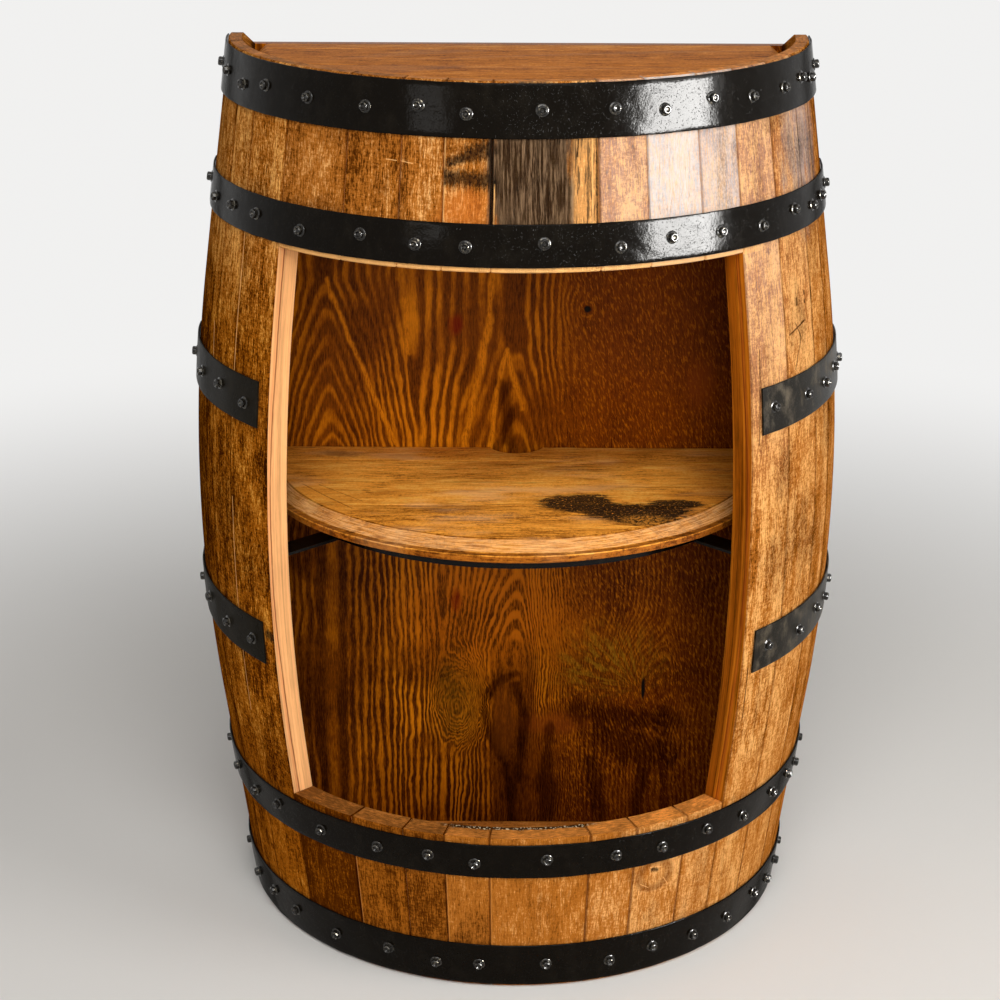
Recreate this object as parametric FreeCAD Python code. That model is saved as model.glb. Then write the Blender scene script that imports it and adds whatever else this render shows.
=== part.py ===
import FreeCAD, Part
import math
import os
from FreeCAD import Vector

# A bar cabinet made from half an oak barrel. It is built on the barrel's own axis, with +Z up,
# the sawn side at y = 0 and the open front towards -Y, and is moved at the end so that the
# origin is the middle of its box at floor level. Lengths are in mm and angles in degrees.
# Angles go round the axis from +X, so the staves run from 180 (left) over 270 (front) to 360.

# Barrel
barrel_height = 900.0
bilge_radius = 329.0        # outside of the staves at half height
bend_half_height = 225.0    # the staves are bent this far above and below half height
end_taper = 7.77            # lean of the straight stave ends
stave_thickness = 26.0
stave_gap = 0.2             # between neighbouring staves
chime_flat = 13.0           # width of the flat end of a stave, outside its bevel
croze_depth = 5.0           # groove that holds the head's tongue
fit_gap = 0.2               # clearance between pieces that bear on each other

# Width of each stave as seen from the axis, from the left sawn edge to the right one
stave_widths = [11.0, 13.0, 8.4, 11.4, 14.6, 10.8, 7.9, 8.4, 18.5, 9.0, 10.7, 8.9,
                10.2, 10.8, 7.6, 8.2, 10.6]
left_side_staves = 4
right_side_staves = 5

# Hoops
hoop_thickness = 1.8
head_hoop_width = 48.0
quarter_hoop_width = 38.5
bilge_hoop_width = 45.5
head_hoop_inset = 1.0           # from the chime's end, at the top
head_hoop_foot_gap = 3.0        # the bottom hoop stays clear of the floor
quarter_hoop_below_top = 141.0  # to the middle of the hoop
quarter_hoop_above_foot = 151.5
bilge_hoop_above_middle = 134.5
bilge_hoop_below_middle = 108.0
strap_setback = 13.0            # the bilge straps stop this short of the opening

# Opening
opening_below_hoop = 4.5        # wood left showing past the upper quarter hoop
opening_above_hoop = 6.0        # and past the lower one

# Hoop screws, with a hexagon head on a pressed washer
screw_length = 15.0
screw_radius = 2.1
screw_hole_gap = 0.2
washer_radius = 6.0
washer_height = 1.2
hexagon_across_flats = 8.0
hexagon_height = 4.2
screw_wander_across = 4.0       # driven by hand, so they stray from the stave's middle
screw_wander_up = 3.0
across_step = 1.1               # the stray is a sine wave: radians from stave to stave
up_step = 2.4
hoop_step = 1.7                 # and from hoop to hoop
screw_drift = 6.0               # the rows lean too, by this much at both ends
screw_turn = 23.0               # each head stops this much further round than the last

# Heads and shelf boards share one section
head_recess = 11.0              # top face below the chime's end
head_thickness = 24.0
tongue_thickness = 7.0
tongue_reach = 6.0
outer_bevel_width = 12.0
outer_bevel_drop = 11.0
inner_bevel_width = 8.0
board_gap = 0.2
top_head_boards = [32.0, 96.0, 78.0, 58.6]      # widths from the sawn side forwards
bottom_head_boards = [70.0, 95.0, 99.6]
dowel_radius = 4.0
dowel_length = 50.0
dowel_place = 0.45              # share of a joint's half length, to each side of the middle
dowel_hole_gap = 0.15

# Shelf
shelf_height = 472.0            # top face above the floor
shelf_side_gap = 41.0           # between its rim and the inside of the staves
shelf_centre_forward = 24.0     # it is cut a little past the middle of its head
shelf_back_gap = 0.5
shelf_boards = [44.5, 133.0, 107.8]
notch_radius = 30.0
notch_depth = 19.0

# Steel under the shelf
band_height = 18.0
band_thickness = 3.0
band_inset = 23.0               # its face behind the shelf's rim radius
band_half_angle = 51.0
arm_width = 24.0
arm_thickness = 3.0
arm_tab_height = 32.0
arm_wall_angle = 40.0           # where the arm meets the staves, from the sawn side
arm_back_offset = 30.0          # where it meets the back panel, from the middle
tab_screw_length = 14.0
tab_screw_radius = 2.2
tab_screw_head_radius = 4.5
tab_screw_head_height = 2.8
tab_screw_spread = 12.0
back_tab_screw_length = 11.0

# Back panel
panel_thickness = 12.0
panel_inset = 5.0               # its edge behind the outside of the staves
panel_foot_gap = 3.0
panel_screw_length = 34.0
panel_screw_radius = 2.0
panel_screw_head_radius = 4.0
panel_screw_head_depth = 3.0
panel_screw_heights = [80.0, 240.0, 400.0, 520.0, 670.0, 820.0]
panel_screw_offset = 170.0      # of the screws into the heads, from the middle
shelf_screw_offset = 195.0

AXIS = Vector(0, 0, 1)
ORIGIN = Vector(0, 0, 0)
nodes = {}

# Values worked out from the sizes above
middle = barrel_height / 2
bend_radius = bend_half_height / math.sin(math.radians(end_taper))
bend_drop = bend_half_height * math.tan(math.radians(end_taper / 2))
stave_scale = 180.0 / sum(stave_widths)
stave_edges = [180.0 + stave_scale * sum(stave_widths[:i]) for i in range(len(stave_widths) + 1)]
first_right_stave = len(stave_widths) - right_side_staves
half_gap_angle = math.degrees(stave_gap / 2 / bilge_radius)


def outer_radius(z):
    """Outside of the staves: an arc round half height, then straight and tangent to it."""
    reach = abs(z - middle)
    if reach <= bend_half_height:
        return bilge_radius - bend_radius + math.sqrt(bend_radius**2 - reach**2)
    return bilge_radius - bend_drop - (reach - bend_half_height) * math.tan(math.radians(end_taper))


def inner_radius(z):
    return outer_radius(z) - stave_thickness


def surface_lean(z):
    """Angle of the staves' outside, positive where it faces upwards."""
    reach = z - middle
    if abs(reach) <= bend_half_height:
        return math.degrees(math.asin(reach / bend_radius))
    return math.copysign(end_taper, reach)


def polar(radius, angle, z):
    turn = math.radians(angle)
    return Vector(radius * math.cos(turn), radius * math.sin(turn), z)


def section(*edges):
    """Face in the XZ plane from lists of (x, z): two points are a line and three an arc."""
    made = []
    for edge in edges:
        points = [Vector(x, 0, z) for x, z in edge]
        curve = Part.LineSegment(*points) if len(points) == 2 else Part.Arc(*points)
        made.append(curve.toShape())
    return Part.Face(Part.Wire(made))


def outline(points):
    """Closed run of straight edges through the points."""
    return section(*zip(points, points[1:] + points[:1]))


def turned(face, start=0.0, sweep=360.0):
    """Face revolved round the barrel's axis."""
    ready = face.copy()
    ready.rotate(ORIGIN, AXIS, start)
    return ready.revolve(ORIGIN, AXIS, sweep)


def slab(y_back, y_front, z_low=-1.0, z_high=None):
    """Large block between two distances from the sawn side, used to divide pieces."""
    wide = 2 * bilge_radius
    top = barrel_height + 1.0 if z_high is None else z_high
    return Part.makeBox(2 * wide, y_back - y_front, top - z_low, Vector(-wide, y_front, z_low))


def aimed(shape, point, direction, spin=0.0):
    """Shape built along +Z, turned to a direction and set down at a point."""
    ready = shape.copy()
    ready.rotate(ORIGIN, AXIS, spin)
    turn = FreeCAD.Rotation(AXIS, direction)
    ready.Placement = FreeCAD.Placement(point, turn).multiply(ready.Placement)
    return ready


def hole(point, direction, radius, depth, lead=2.0):
    """Cylinder that cuts into a piece against a direction, starting a little outside it."""
    rod = Part.makeCylinder(radius, depth + lead, Vector(0, 0, -depth))
    return aimed(rod, point, direction)


def add(name, shape):
    nodes[name] = shape


def cut_all(name, tools):
    nodes[name] = nodes[name].cut(Part.makeCompound(tools))


def stave_node(index):
    """Names of the nodes cut from one stave."""
    if index < left_side_staves:
        return ["side_stave_left_%d" % (index + 1)]
    if index >= first_right_stave:
        return ["side_stave_right_%d" % (index - first_right_stave + 1)]
    number = index - left_side_staves + 1
    return ["upper_stave_%d" % number, "lower_stave_%d" % number]


# ---------------------------------------------------------------- heads in their grooves

tongue_top = barrel_height - head_recess - outer_bevel_drop
tongue_foot = tongue_top - tongue_thickness
croze_radius = inner_radius((tongue_top + tongue_foot) / 2) + croze_depth
head_radius = croze_radius - fit_gap


def head_section(radius, top):
    """Half section of a barrel head: two bevels leave a tongue round the rim."""
    shoulder = radius - tongue_reach
    foot = top - head_thickness
    tongue_high = top - outer_bevel_drop
    tongue_low = tongue_high - tongue_thickness
    return outline([(0, top), (shoulder - outer_bevel_width, top), (shoulder, tongue_high),
                    (radius, tongue_high), (radius, tongue_low), (shoulder, tongue_low),
                    (shoulder - inner_bevel_width, foot), (0, foot)])


def board_edges(widths, y_back, y_front):
    """Places of the boards' edges, with their widths scaled to fill a disc."""
    scale = (y_back - y_front) / sum(widths)
    return [y_back - scale * sum(widths[:i]) for i in range(len(widths) + 1)]


def boards(disc, edges):
    """Disc divided into boards along X, from the sawn side forwards."""
    backs = [edges[0]] + [y - board_gap / 2 for y in edges[1:-1]]
    fronts = [y + board_gap / 2 for y in edges[1:-1]] + [edges[-1] - 1.0]
    return [disc.common(slab(back, front)) for back, front in zip(backs, fronts)]


def dowels(edges, radius, centre_y, z):
    """Dowels across the board joints, with the holes they sit in."""
    pins = []
    holes = []
    for seam in edges[1:-1]:
        half_length = math.sqrt(radius**2 - (seam - centre_y)**2)
        for x in (-dowel_place * half_length, dowel_place * half_length):
            end = Vector(x, seam - dowel_length / 2, z)
            pins.append(Part.makeCylinder(dowel_radius, dowel_length, end, Vector(0, 1, 0)))
            end = Vector(x, seam - dowel_length / 2 - fit_gap, z)
            holes.append(Part.makeCylinder(dowel_radius + dowel_hole_gap,
                                           dowel_length + 2 * fit_gap, end, Vector(0, 1, 0)))
    return pins, holes


def add_boards(prefix, disc, radius, centre_y, y_back, widths, z):
    """Boards of one head or shelf as nodes. Returns its dowels."""
    edges = board_edges(widths, y_back, centre_y - radius)
    pins, holes = dowels(edges, radius, centre_y, z)
    for number, board in enumerate(boards(disc, edges), 1):
        add("%s_%d" % (prefix, number), board.cut(Part.makeCompound(holes)))
    return pins


top_disc = turned(head_section(head_radius, barrel_height - head_recess))
bottom_disc = top_disc.mirror(Vector(0, 0, middle), AXIS)
head_middle = barrel_height - head_recess - head_thickness / 2
head_pins = add_boards("top_head_board", top_disc, head_radius, 0.0, 0.0,
                       top_head_boards, head_middle)
head_pins += add_boards("bottom_head_board", bottom_disc, head_radius, 0.0, 0.0,
                        bottom_head_boards, barrel_height - head_middle)
add("head_dowels", Part.makeCompound(head_pins))

# ---------------------------------------------------------------- staves


def stave_section():
    """Half section of the barrel wall, with bevelled ends and a croze near each of them."""
    low_bend = middle - bend_half_height
    high_bend = middle + bend_half_height
    end_radius = outer_radius(0)
    groove_low = tongue_foot - fit_gap
    groove_high = tongue_top + fit_gap
    bevel_foot = barrel_height - head_recess
    outer = [[(end_radius, 0), (outer_radius(low_bend), low_bend)],
             [(outer_radius(low_bend), low_bend), (bilge_radius, middle),
              (outer_radius(high_bend), high_bend)],
             [(outer_radius(high_bend), high_bend), (end_radius, barrel_height)]]
    top = [(end_radius, barrel_height), (end_radius - chime_flat, barrel_height),
           (inner_radius(bevel_foot), bevel_foot), (inner_radius(groove_high), groove_high),
           (croze_radius, groove_high), (croze_radius, groove_low),
           (inner_radius(groove_low), groove_low), (inner_radius(high_bend), high_bend)]
    bend = [(inner_radius(high_bend), high_bend), (bilge_radius - stave_thickness, middle),
            (inner_radius(low_bend), low_bend)]
    foot = [(r, barrel_height - z) for r, z in reversed(top)]
    return section(*outer, *zip(top, top[1:]), bend, *zip(foot, foot[1:]))


quarter_upper_z = barrel_height - quarter_hoop_below_top
quarter_lower_z = quarter_hoop_above_foot
opening_top = quarter_upper_z - quarter_hoop_width / 2 - opening_below_hoop
opening_foot = quarter_lower_z + quarter_hoop_width / 2 + opening_above_hoop

wall = stave_section()
for index in range(len(stave_widths)):
    start = stave_edges[index] + (half_gap_angle if index > 0 else 0)
    end = stave_edges[index + 1] - (half_gap_angle if index < len(stave_widths) - 1 else 0)
    whole = turned(wall, start, end - start)
    names = stave_node(index)
    if len(names) == 1:
        add(names[0], whole)
    else:
        add(names[0], whole.common(slab(0, -bilge_radius, opening_top)))
        add(names[1], whole.common(slab(0, -bilge_radius, -1.0, opening_foot)))

# ---------------------------------------------------------------- hoops and their screws


def hoop_strap(z, width, start, end):
    """Flat steel strip rolled to a cone that lies on the staves."""
    lean = math.radians(surface_lean(z))
    out = (math.cos(lean), math.sin(lean))
    up = (-math.sin(lean), math.cos(lean))
    base = outer_radius(z) + fit_gap
    corners = []
    for side, rise in ((0, -1), (1, -1), (1, 1), (0, 1)):
        r = base + side * hoop_thickness * out[0] + rise * width / 2 * up[0]
        h = z + side * hoop_thickness * out[1] + rise * width / 2 * up[1]
        corners.append((r, h))
    return turned(outline(corners), start, end - start)


def hex_screw():
    """Screw with a hexagon head pressed on a washer, seated at z = 0."""
    shank = Part.makeCylinder(screw_radius, screw_length, Vector(0, 0, -screw_length))
    washer = Part.makeCylinder(washer_radius, washer_height)
    corner = hexagon_across_flats / math.sqrt(3)
    ring = [polar(corner, 60.0 * i, washer_height) for i in range(7)]
    hexagon = Part.Face(Part.makePolygon(ring)).extrude(Vector(0, 0, hexagon_height))
    return shank.fuse([washer, hexagon]).removeSplitter()


screw = hex_screw()


def add_hoop(name, order, z, width, staves):
    """One strap over a run of staves, its screws, and their holes."""
    start = stave_edges[staves[0]]
    end = stave_edges[staves[-1] + 1]
    setback = math.degrees(strap_setback / outer_radius(z))
    if start > 180.0:
        start += setback
    if end < 360.0:
        end -= setback
    strap = hoop_strap(z, width, start, end)
    screws = []
    strap_holes = []
    for index in staves:
        height = z + screw_wander_up * math.sin(up_step * index + hoop_step * order)
        seat = outer_radius(z) + fit_gap + hoop_thickness / math.cos(math.radians(surface_lean(z)))
        seat -= (height - z) * math.tan(math.radians(surface_lean(z)))
        across = screw_wander_across * math.sin(across_step * index)
        across -= screw_drift * (z - middle) / middle
        angle = (stave_edges[index] + stave_edges[index + 1]) / 2 + math.degrees(across / seat)
        lean = math.radians(surface_lean(z))
        out = polar(math.cos(lean), angle, math.sin(lean))
        point = polar(seat, angle, height)
        screws.append(aimed(screw, point, out, screw_turn * index))
        strap_holes.append(hole(point, out, screw_radius + screw_hole_gap, 2 * hoop_thickness))
        for node in stave_node(index):
            if nodes[node].BoundBox.ZMin < height < nodes[node].BoundBox.ZMax:
                cut_all(node, [hole(point, out, screw_radius + screw_hole_gap,
                                    screw_length + fit_gap)])
    add("hoop_" + name, strap.cut(Part.makeCompound(strap_holes)))
    add("screws_" + name, Part.makeCompound(screws))


every_stave = list(range(len(stave_widths)))
left_staves = every_stave[:left_side_staves]
right_staves = every_stave[first_right_stave:]
bilge_upper_z = middle + bilge_hoop_above_middle
bilge_lower_z = middle - bilge_hoop_below_middle
head_lean = math.cos(math.radians(end_taper))
head_top_z = barrel_height - head_hoop_inset - head_hoop_width / 2 * head_lean
head_foot_z = head_hoop_foot_gap + head_hoop_width / 2 * head_lean

add_hoop("head_top", 0, head_top_z - hoop_thickness * math.sin(math.radians(end_taper)),
         head_hoop_width, every_stave)
add_hoop("quarter_upper", 1, quarter_upper_z, quarter_hoop_width, every_stave)
add_hoop("bilge_upper_left", 2, bilge_upper_z, bilge_hoop_width, left_staves)
add_hoop("bilge_upper_right", 2, bilge_upper_z, bilge_hoop_width, right_staves)
add_hoop("bilge_lower_left", 3, bilge_lower_z, bilge_hoop_width, left_staves)
add_hoop("bilge_lower_right", 3, bilge_lower_z, bilge_hoop_width, right_staves)
add_hoop("quarter_lower", 4, quarter_lower_z, quarter_hoop_width, every_stave)
add_hoop("head_bottom", 5, head_foot_z + hoop_thickness * math.sin(math.radians(end_taper)),
         head_hoop_width, every_stave)

# ---------------------------------------------------------------- shelf

shelf_radius = inner_radius(shelf_height) - shelf_side_gap
shelf_disc = turned(head_section(shelf_radius, shelf_height))
shelf_disc.translate(Vector(0, -shelf_centre_forward, 0))
notch_middle = Vector(0, notch_radius - notch_depth - shelf_back_gap, 0)
notch = Part.makeCylinder(notch_radius, barrel_height, notch_middle)
shelf_middle = shelf_height - head_thickness / 2
shelf_pins = add_boards("shelf_board", shelf_disc.cut(notch), shelf_radius,
                        -shelf_centre_forward, -shelf_back_gap, shelf_boards, shelf_middle)
add("shelf_dowels", Part.makeCompound(shelf_pins))

# ---------------------------------------------------------------- steel under the shelf

band_top = shelf_height - head_thickness - fit_gap
arm_top = band_top - band_height
band_radius = shelf_radius - band_inset
band_face = outline([(band_radius - band_thickness, arm_top), (band_radius, arm_top),
                     (band_radius, band_top), (band_radius - band_thickness, band_top)])
add("shelf_band", turned(band_face, 270.0 - band_half_angle, 2 * band_half_angle))


def tab_screw(length):
    """Round-head screw seated at z = 0, with its shank along -Z."""
    shank = Part.makeCylinder(tab_screw_radius, length, Vector(0, 0, -length))
    head = Part.makeCylinder(tab_screw_head_radius, tab_screw_head_height)
    rim = [edge for edge in head.Edges if edge.BoundBox.ZMin > tab_screw_head_height / 2]
    return shank.fuse(head.makeFillet(tab_screw_head_height / 2, [rim[0]])).removeSplitter()


def right_arm():
    """Flat bar from the staves to the back panel, with both ends bent down. Returns the bar,
    the places of its wall screws and of its back screws."""
    wall_angle = 360.0 - arm_wall_angle
    wall_lean = math.radians(surface_lean(arm_top))
    sagitta = inner_radius(arm_top) - math.sqrt(inner_radius(arm_top)**2 - (arm_width / 2)**2)
    tab_low = arm_top - arm_tab_height
    tab_outside = inner_radius(tab_low) - sagitta - fit_gap
    tab_inside = tab_outside - arm_thickness
    outer_end = polar(tab_outside - arm_thickness / 2, wall_angle, 0)
    inner_end = Vector(arm_back_offset, -fit_gap - arm_thickness / 2, 0)
    run = outer_end - inner_end
    heading = math.degrees(math.atan2(run.y, run.x))
    bar = Part.makeBox(run.Length + 2 * arm_width, arm_width, arm_thickness,
                       Vector(-arm_width, -arm_width / 2, arm_top - arm_thickness))
    bar.rotate(ORIGIN, AXIS, heading)
    bar.translate(inner_end)
    keep = Part.makeBox(tab_outside + 2 * arm_width, 2 * bilge_radius, 2 * arm_tab_height,
                        Vector(-2 * arm_width, -bilge_radius, arm_top - arm_tab_height))
    keep.rotate(ORIGIN, AXIS, wall_angle)
    bar = bar.common(keep).common(slab(-fit_gap, -bilge_radius))
    wall_tab = Part.makeBox(arm_thickness, arm_width, arm_tab_height,
                            Vector(tab_inside, -arm_width / 2, tab_low))
    wall_tab.rotate(ORIGIN, AXIS, wall_angle)
    back_width = arm_width / abs(math.sin(math.radians(heading)))
    back_tab = Part.makeBox(back_width, arm_thickness, arm_tab_height,
                            Vector(arm_back_offset - back_width / 2, -fit_gap - arm_thickness,
                                   tab_low))
    bar = bar.fuse([wall_tab, back_tab]).removeSplitter()
    inwards = polar(-1, wall_angle, 0)
    levels = [tab_low + (arm_tab_height - arm_thickness) / 2 + side * tab_screw_spread / 2
              for side in (-1, 1)]
    walls = [(polar(tab_inside, wall_angle, z), inwards) for z in levels]
    backs = [(Vector(arm_back_offset + side * tab_screw_spread / 2,
                     -fit_gap - arm_thickness, levels[0]), Vector(0, -1, 0))
             for side in (-1, 1)]
    return bar, walls, backs


def on_side(side, point):
    """The point itself on the right (1), or its mirror image on the left (-1)."""
    return Vector(side * point.x, point.y, point.z)


arm, wall_places, back_places = right_arm()
wall_screw = tab_screw(tab_screw_length)
back_screw = tab_screw(back_tab_screw_length)
arm_screws = []
arm_holes = []
back_tab_holes = []
for side in (-1, 1):
    for place, direction in wall_places:
        seat = on_side(side, place)
        out = on_side(side, direction)
        arm_screws.append(aimed(wall_screw, seat, out))
        arm_holes.append(hole(seat, out, tab_screw_radius + screw_hole_gap,
                              tab_screw_length + fit_gap))
    for place, direction in back_places:
        seat = on_side(side, place)
        arm_screws.append(aimed(back_screw, seat, direction))
        back_tab_holes.append(hole(seat, direction, tab_screw_radius + screw_hole_gap,
                                   back_tab_screw_length + fit_gap))
drilled = Part.makeCompound(arm_holes + back_tab_holes)
add("shelf_arm_right", arm.cut(drilled))
add("shelf_arm_left", arm.mirror(ORIGIN, Vector(1, 0, 0)).cut(drilled))
add("shelf_arm_screws", Part.makeCompound(arm_screws))
for index in every_stave:
    for node in stave_node(index):
        if nodes[node].BoundBox.ZMin < arm_top < nodes[node].BoundBox.ZMax:
            cut_all(node, arm_holes)

# ---------------------------------------------------------------- back panel


def panel_face():
    """The barrel's outline as seen from the front, a little inside the staves."""
    low_bend = middle - bend_half_height
    high_bend = middle + bend_half_height
    top = barrel_height - head_recess
    heights = [panel_foot_gap, low_bend, middle, high_bend, top]
    right = [(outer_radius(z) - panel_inset, z) for z in heights]
    left = [(-x, z) for x, z in right]
    return section([left[0], right[0]], [right[0], right[1]], right[1:4], [right[3], right[4]],
                   [right[4], left[4]], [left[4], left[3]], left[3:0:-1], [left[1], left[0]])


def panel_screw():
    """Countersunk screw whose flat head is flush at z = 0, with its shank along -Z."""
    head = Part.makeCone(panel_screw_radius, panel_screw_head_radius, panel_screw_head_depth,
                         Vector(0, 0, -panel_screw_head_depth))
    shank = Part.makeCylinder(panel_screw_radius, panel_screw_length - panel_screw_head_depth,
                              Vector(0, 0, -panel_screw_length))
    return head.fuse(shank).removeSplitter()


def panel_screw_hole():
    """The same shape with clearance all round, open at its head."""
    gap = screw_hole_gap
    head = Part.makeCone(panel_screw_radius + gap, panel_screw_head_radius + gap,
                         panel_screw_head_depth, Vector(0, 0, -panel_screw_head_depth))
    mouth = Part.makeCylinder(panel_screw_head_radius + gap, 1.0)
    shank = Part.makeCylinder(panel_screw_radius + gap, panel_screw_length + gap,
                              Vector(0, 0, -panel_screw_length - gap))
    return shank.fuse([head, mouth])


panel = panel_face().extrude(Vector(0, panel_thickness, 0))
panel.translate(Vector(0, fit_gap, 0))
panel_rear = fit_gap + panel_thickness
places = []
for z in panel_screw_heights:
    for side in (-1, 1):
        places.append((side * (outer_radius(z) - stave_thickness / 2), z))
for z in (head_middle, barrel_height - head_middle):
    places += [(-panel_screw_offset, z), (0, z), (panel_screw_offset, z)]
places += [(-shelf_screw_offset, shelf_middle), (shelf_screw_offset, shelf_middle)]
rearwards = Vector(0, 1, 0)
points = [Vector(x, panel_rear, z) for x, z in places]
panel_holes = [aimed(panel_screw_hole(), point, rearwards) for point in points]
add("back_panel", panel.cut(Part.makeCompound(panel_holes + back_tab_holes)))
add("back_panel_screws", Part.makeCompound([aimed(panel_screw(), point, rearwards)
                                            for point in points]))
drilled_nodes = ["side_stave_left_1", "side_stave_right_%d" % right_side_staves,
                 "top_head_board_1", "bottom_head_board_1", "shelf_board_1"]
for node in drilled_nodes:
    cut_all(node, panel_holes)

# ---------------------------------------------------------------- write the pieces

box = Part.makeCompound(list(nodes.values())).BoundBox
to_origin = Vector(-(box.XMin + box.XMax) / 2, -(box.YMin + box.YMax) / 2, -box.ZMin)
os.makedirs("parts", exist_ok=True)
for name, shape in nodes.items():
    shape.translate(to_origin)
    shape.exportStep("parts/%s.step" % name)
print("%d nodes, box %.1f x %.1f x %.1f mm, axis moved by %.3f, %.3f"
      % (len(nodes), box.XLength, box.YLength, box.ZLength, to_origin.x, to_origin.y))
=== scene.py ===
"""Half-barrel bar cabinet: the finished look of each piece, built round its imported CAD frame."""

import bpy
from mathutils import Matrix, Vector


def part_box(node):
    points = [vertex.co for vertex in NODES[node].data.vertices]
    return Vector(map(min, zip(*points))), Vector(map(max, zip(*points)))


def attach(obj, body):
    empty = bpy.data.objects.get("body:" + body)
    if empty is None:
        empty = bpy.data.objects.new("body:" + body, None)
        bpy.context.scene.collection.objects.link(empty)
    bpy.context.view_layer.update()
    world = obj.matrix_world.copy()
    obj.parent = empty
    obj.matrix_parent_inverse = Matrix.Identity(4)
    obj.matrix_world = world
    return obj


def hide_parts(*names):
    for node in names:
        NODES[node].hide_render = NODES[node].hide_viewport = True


bl_info = {
    "name": "Half-barrel bar cabinet",
    "version": (1, 0, 0),
    "blender": (4, 5, 0),
    "location": "View3D > Sidebar > Barrel cabinet",
    "description": "Oak staves, painted hoops, heads, shelf and back of a half-barrel bar cabinet",
    "category": "Add Mesh",
}

import math

import bmesh
import bpy
from bpy.props import FloatProperty, FloatVectorProperty, PointerProperty
from mathutils import Matrix, Vector, noise

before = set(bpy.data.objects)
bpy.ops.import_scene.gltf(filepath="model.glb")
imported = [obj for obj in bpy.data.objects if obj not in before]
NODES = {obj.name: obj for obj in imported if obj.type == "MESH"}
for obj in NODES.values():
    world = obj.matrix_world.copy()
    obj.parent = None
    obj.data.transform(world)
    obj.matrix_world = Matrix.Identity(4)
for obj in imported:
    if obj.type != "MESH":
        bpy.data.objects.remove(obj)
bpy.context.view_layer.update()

PANEL_LOW, PANEL_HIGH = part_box("back_panel")
FIT_GAP = 0.0002
AXIS_X = (PANEL_LOW.x + PANEL_HIGH.x) / 2   # the barrel's own axis
SAWN_Y = PANEL_LOW.y - FIT_GAP              # and the plane it was sawn along
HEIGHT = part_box("side_stave_left_1")[1].z
OPENING_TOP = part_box("upper_stave_1")[0].z


# ---------------------------------------------------------------- sizes and finishes

def length(name, default, description):
    return FloatProperty(name=name, description=description, default=default, unit="LENGTH",
                         precision=4)


def angle_of(name, degrees, description):
    return FloatProperty(name=name, description=description, default=math.radians(degrees),
                         subtype="ANGLE")


def tint(red, green, blue):
    """Colour written the way a screen shows it, 0 to 255, as the renderer needs it."""
    shares = [value / 255 for value in (red, green, blue)]
    return tuple(s / 12.92 if s <= 0.04045 else ((s + 0.055) / 1.055)**2.4 for s in shares)


def colour(name, default, description):
    return FloatVectorProperty(name=name, description=description, default=default, size=3,
                               subtype="COLOR", min=0.0, max=1.0)


class BarrelSizes(bpy.types.PropertyGroup):
    bilge_radius: length("Bilge radius", 0.329, "Outside of the staves at half height")
    bend_half_height: length("Bend", 0.225, "The staves are bent this far above and below")
    end_taper: angle_of("End taper", 7.77, "Lean of the straight stave ends")
    stave_thickness: length("Stave thickness", 0.026, "Wall of the barrel")
    chime_flat: length("Chime flat", 0.013, "Flat end of a stave outside its bevel")
    croze_depth: length("Croze depth", 0.005, "Groove that holds a head")
    hoop_thickness: length("Hoop thickness", 0.0018, "Steel strip")
    edge_wear: length("Edge wear", 0.0011, "Rounding of the staves' long edges")
    stave_step: length("Stave step", 0.0005, "Most that a stave sits behind its neighbour")


class BoardSizes(bpy.types.PropertyGroup):
    tongue_thickness: length("Tongue thickness", 0.007, "Rim of a head in its groove")
    tongue_reach: length("Tongue reach", 0.006, "How far the rim stands out")
    outer_bevel_width: length("Outer bevel width", 0.012, "Bevel on the outer face")
    outer_bevel_drop: length("Outer bevel drop", 0.011, "Depth of that bevel")
    inner_bevel_width: length("Inner bevel width", 0.008, "Bevel on the inner face")
    notch_radius: length("Notch radius", 0.030, "Cable notch in the shelf's back edge")
    notch_depth: length("Notch depth", 0.019, "How far the notch reaches in")
    shelf_centre: length("Shelf centre", 0.024, "Its disc's centre in front of the sawn side")


class ScrewSizes(bpy.types.PropertyGroup):
    washer_radius: length("Washer radius", 0.006, "Pressed washer under the hexagon")
    washer_height: length("Washer height", 0.0012, "Its thickness")
    across_flats: length("Across flats", 0.008, "Hexagon of the hoop screws")
    head_height: length("Head height", 0.0054, "Washer and hexagon together")
    shank_radius: length("Shank radius", 0.0021, "Plain shank")
    recess_radius: length("Recess radius", 0.0026, "Dish in the hexagon's top")
    recess_depth: length("Recess depth", 0.0016, "Depth of the dish")


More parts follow.
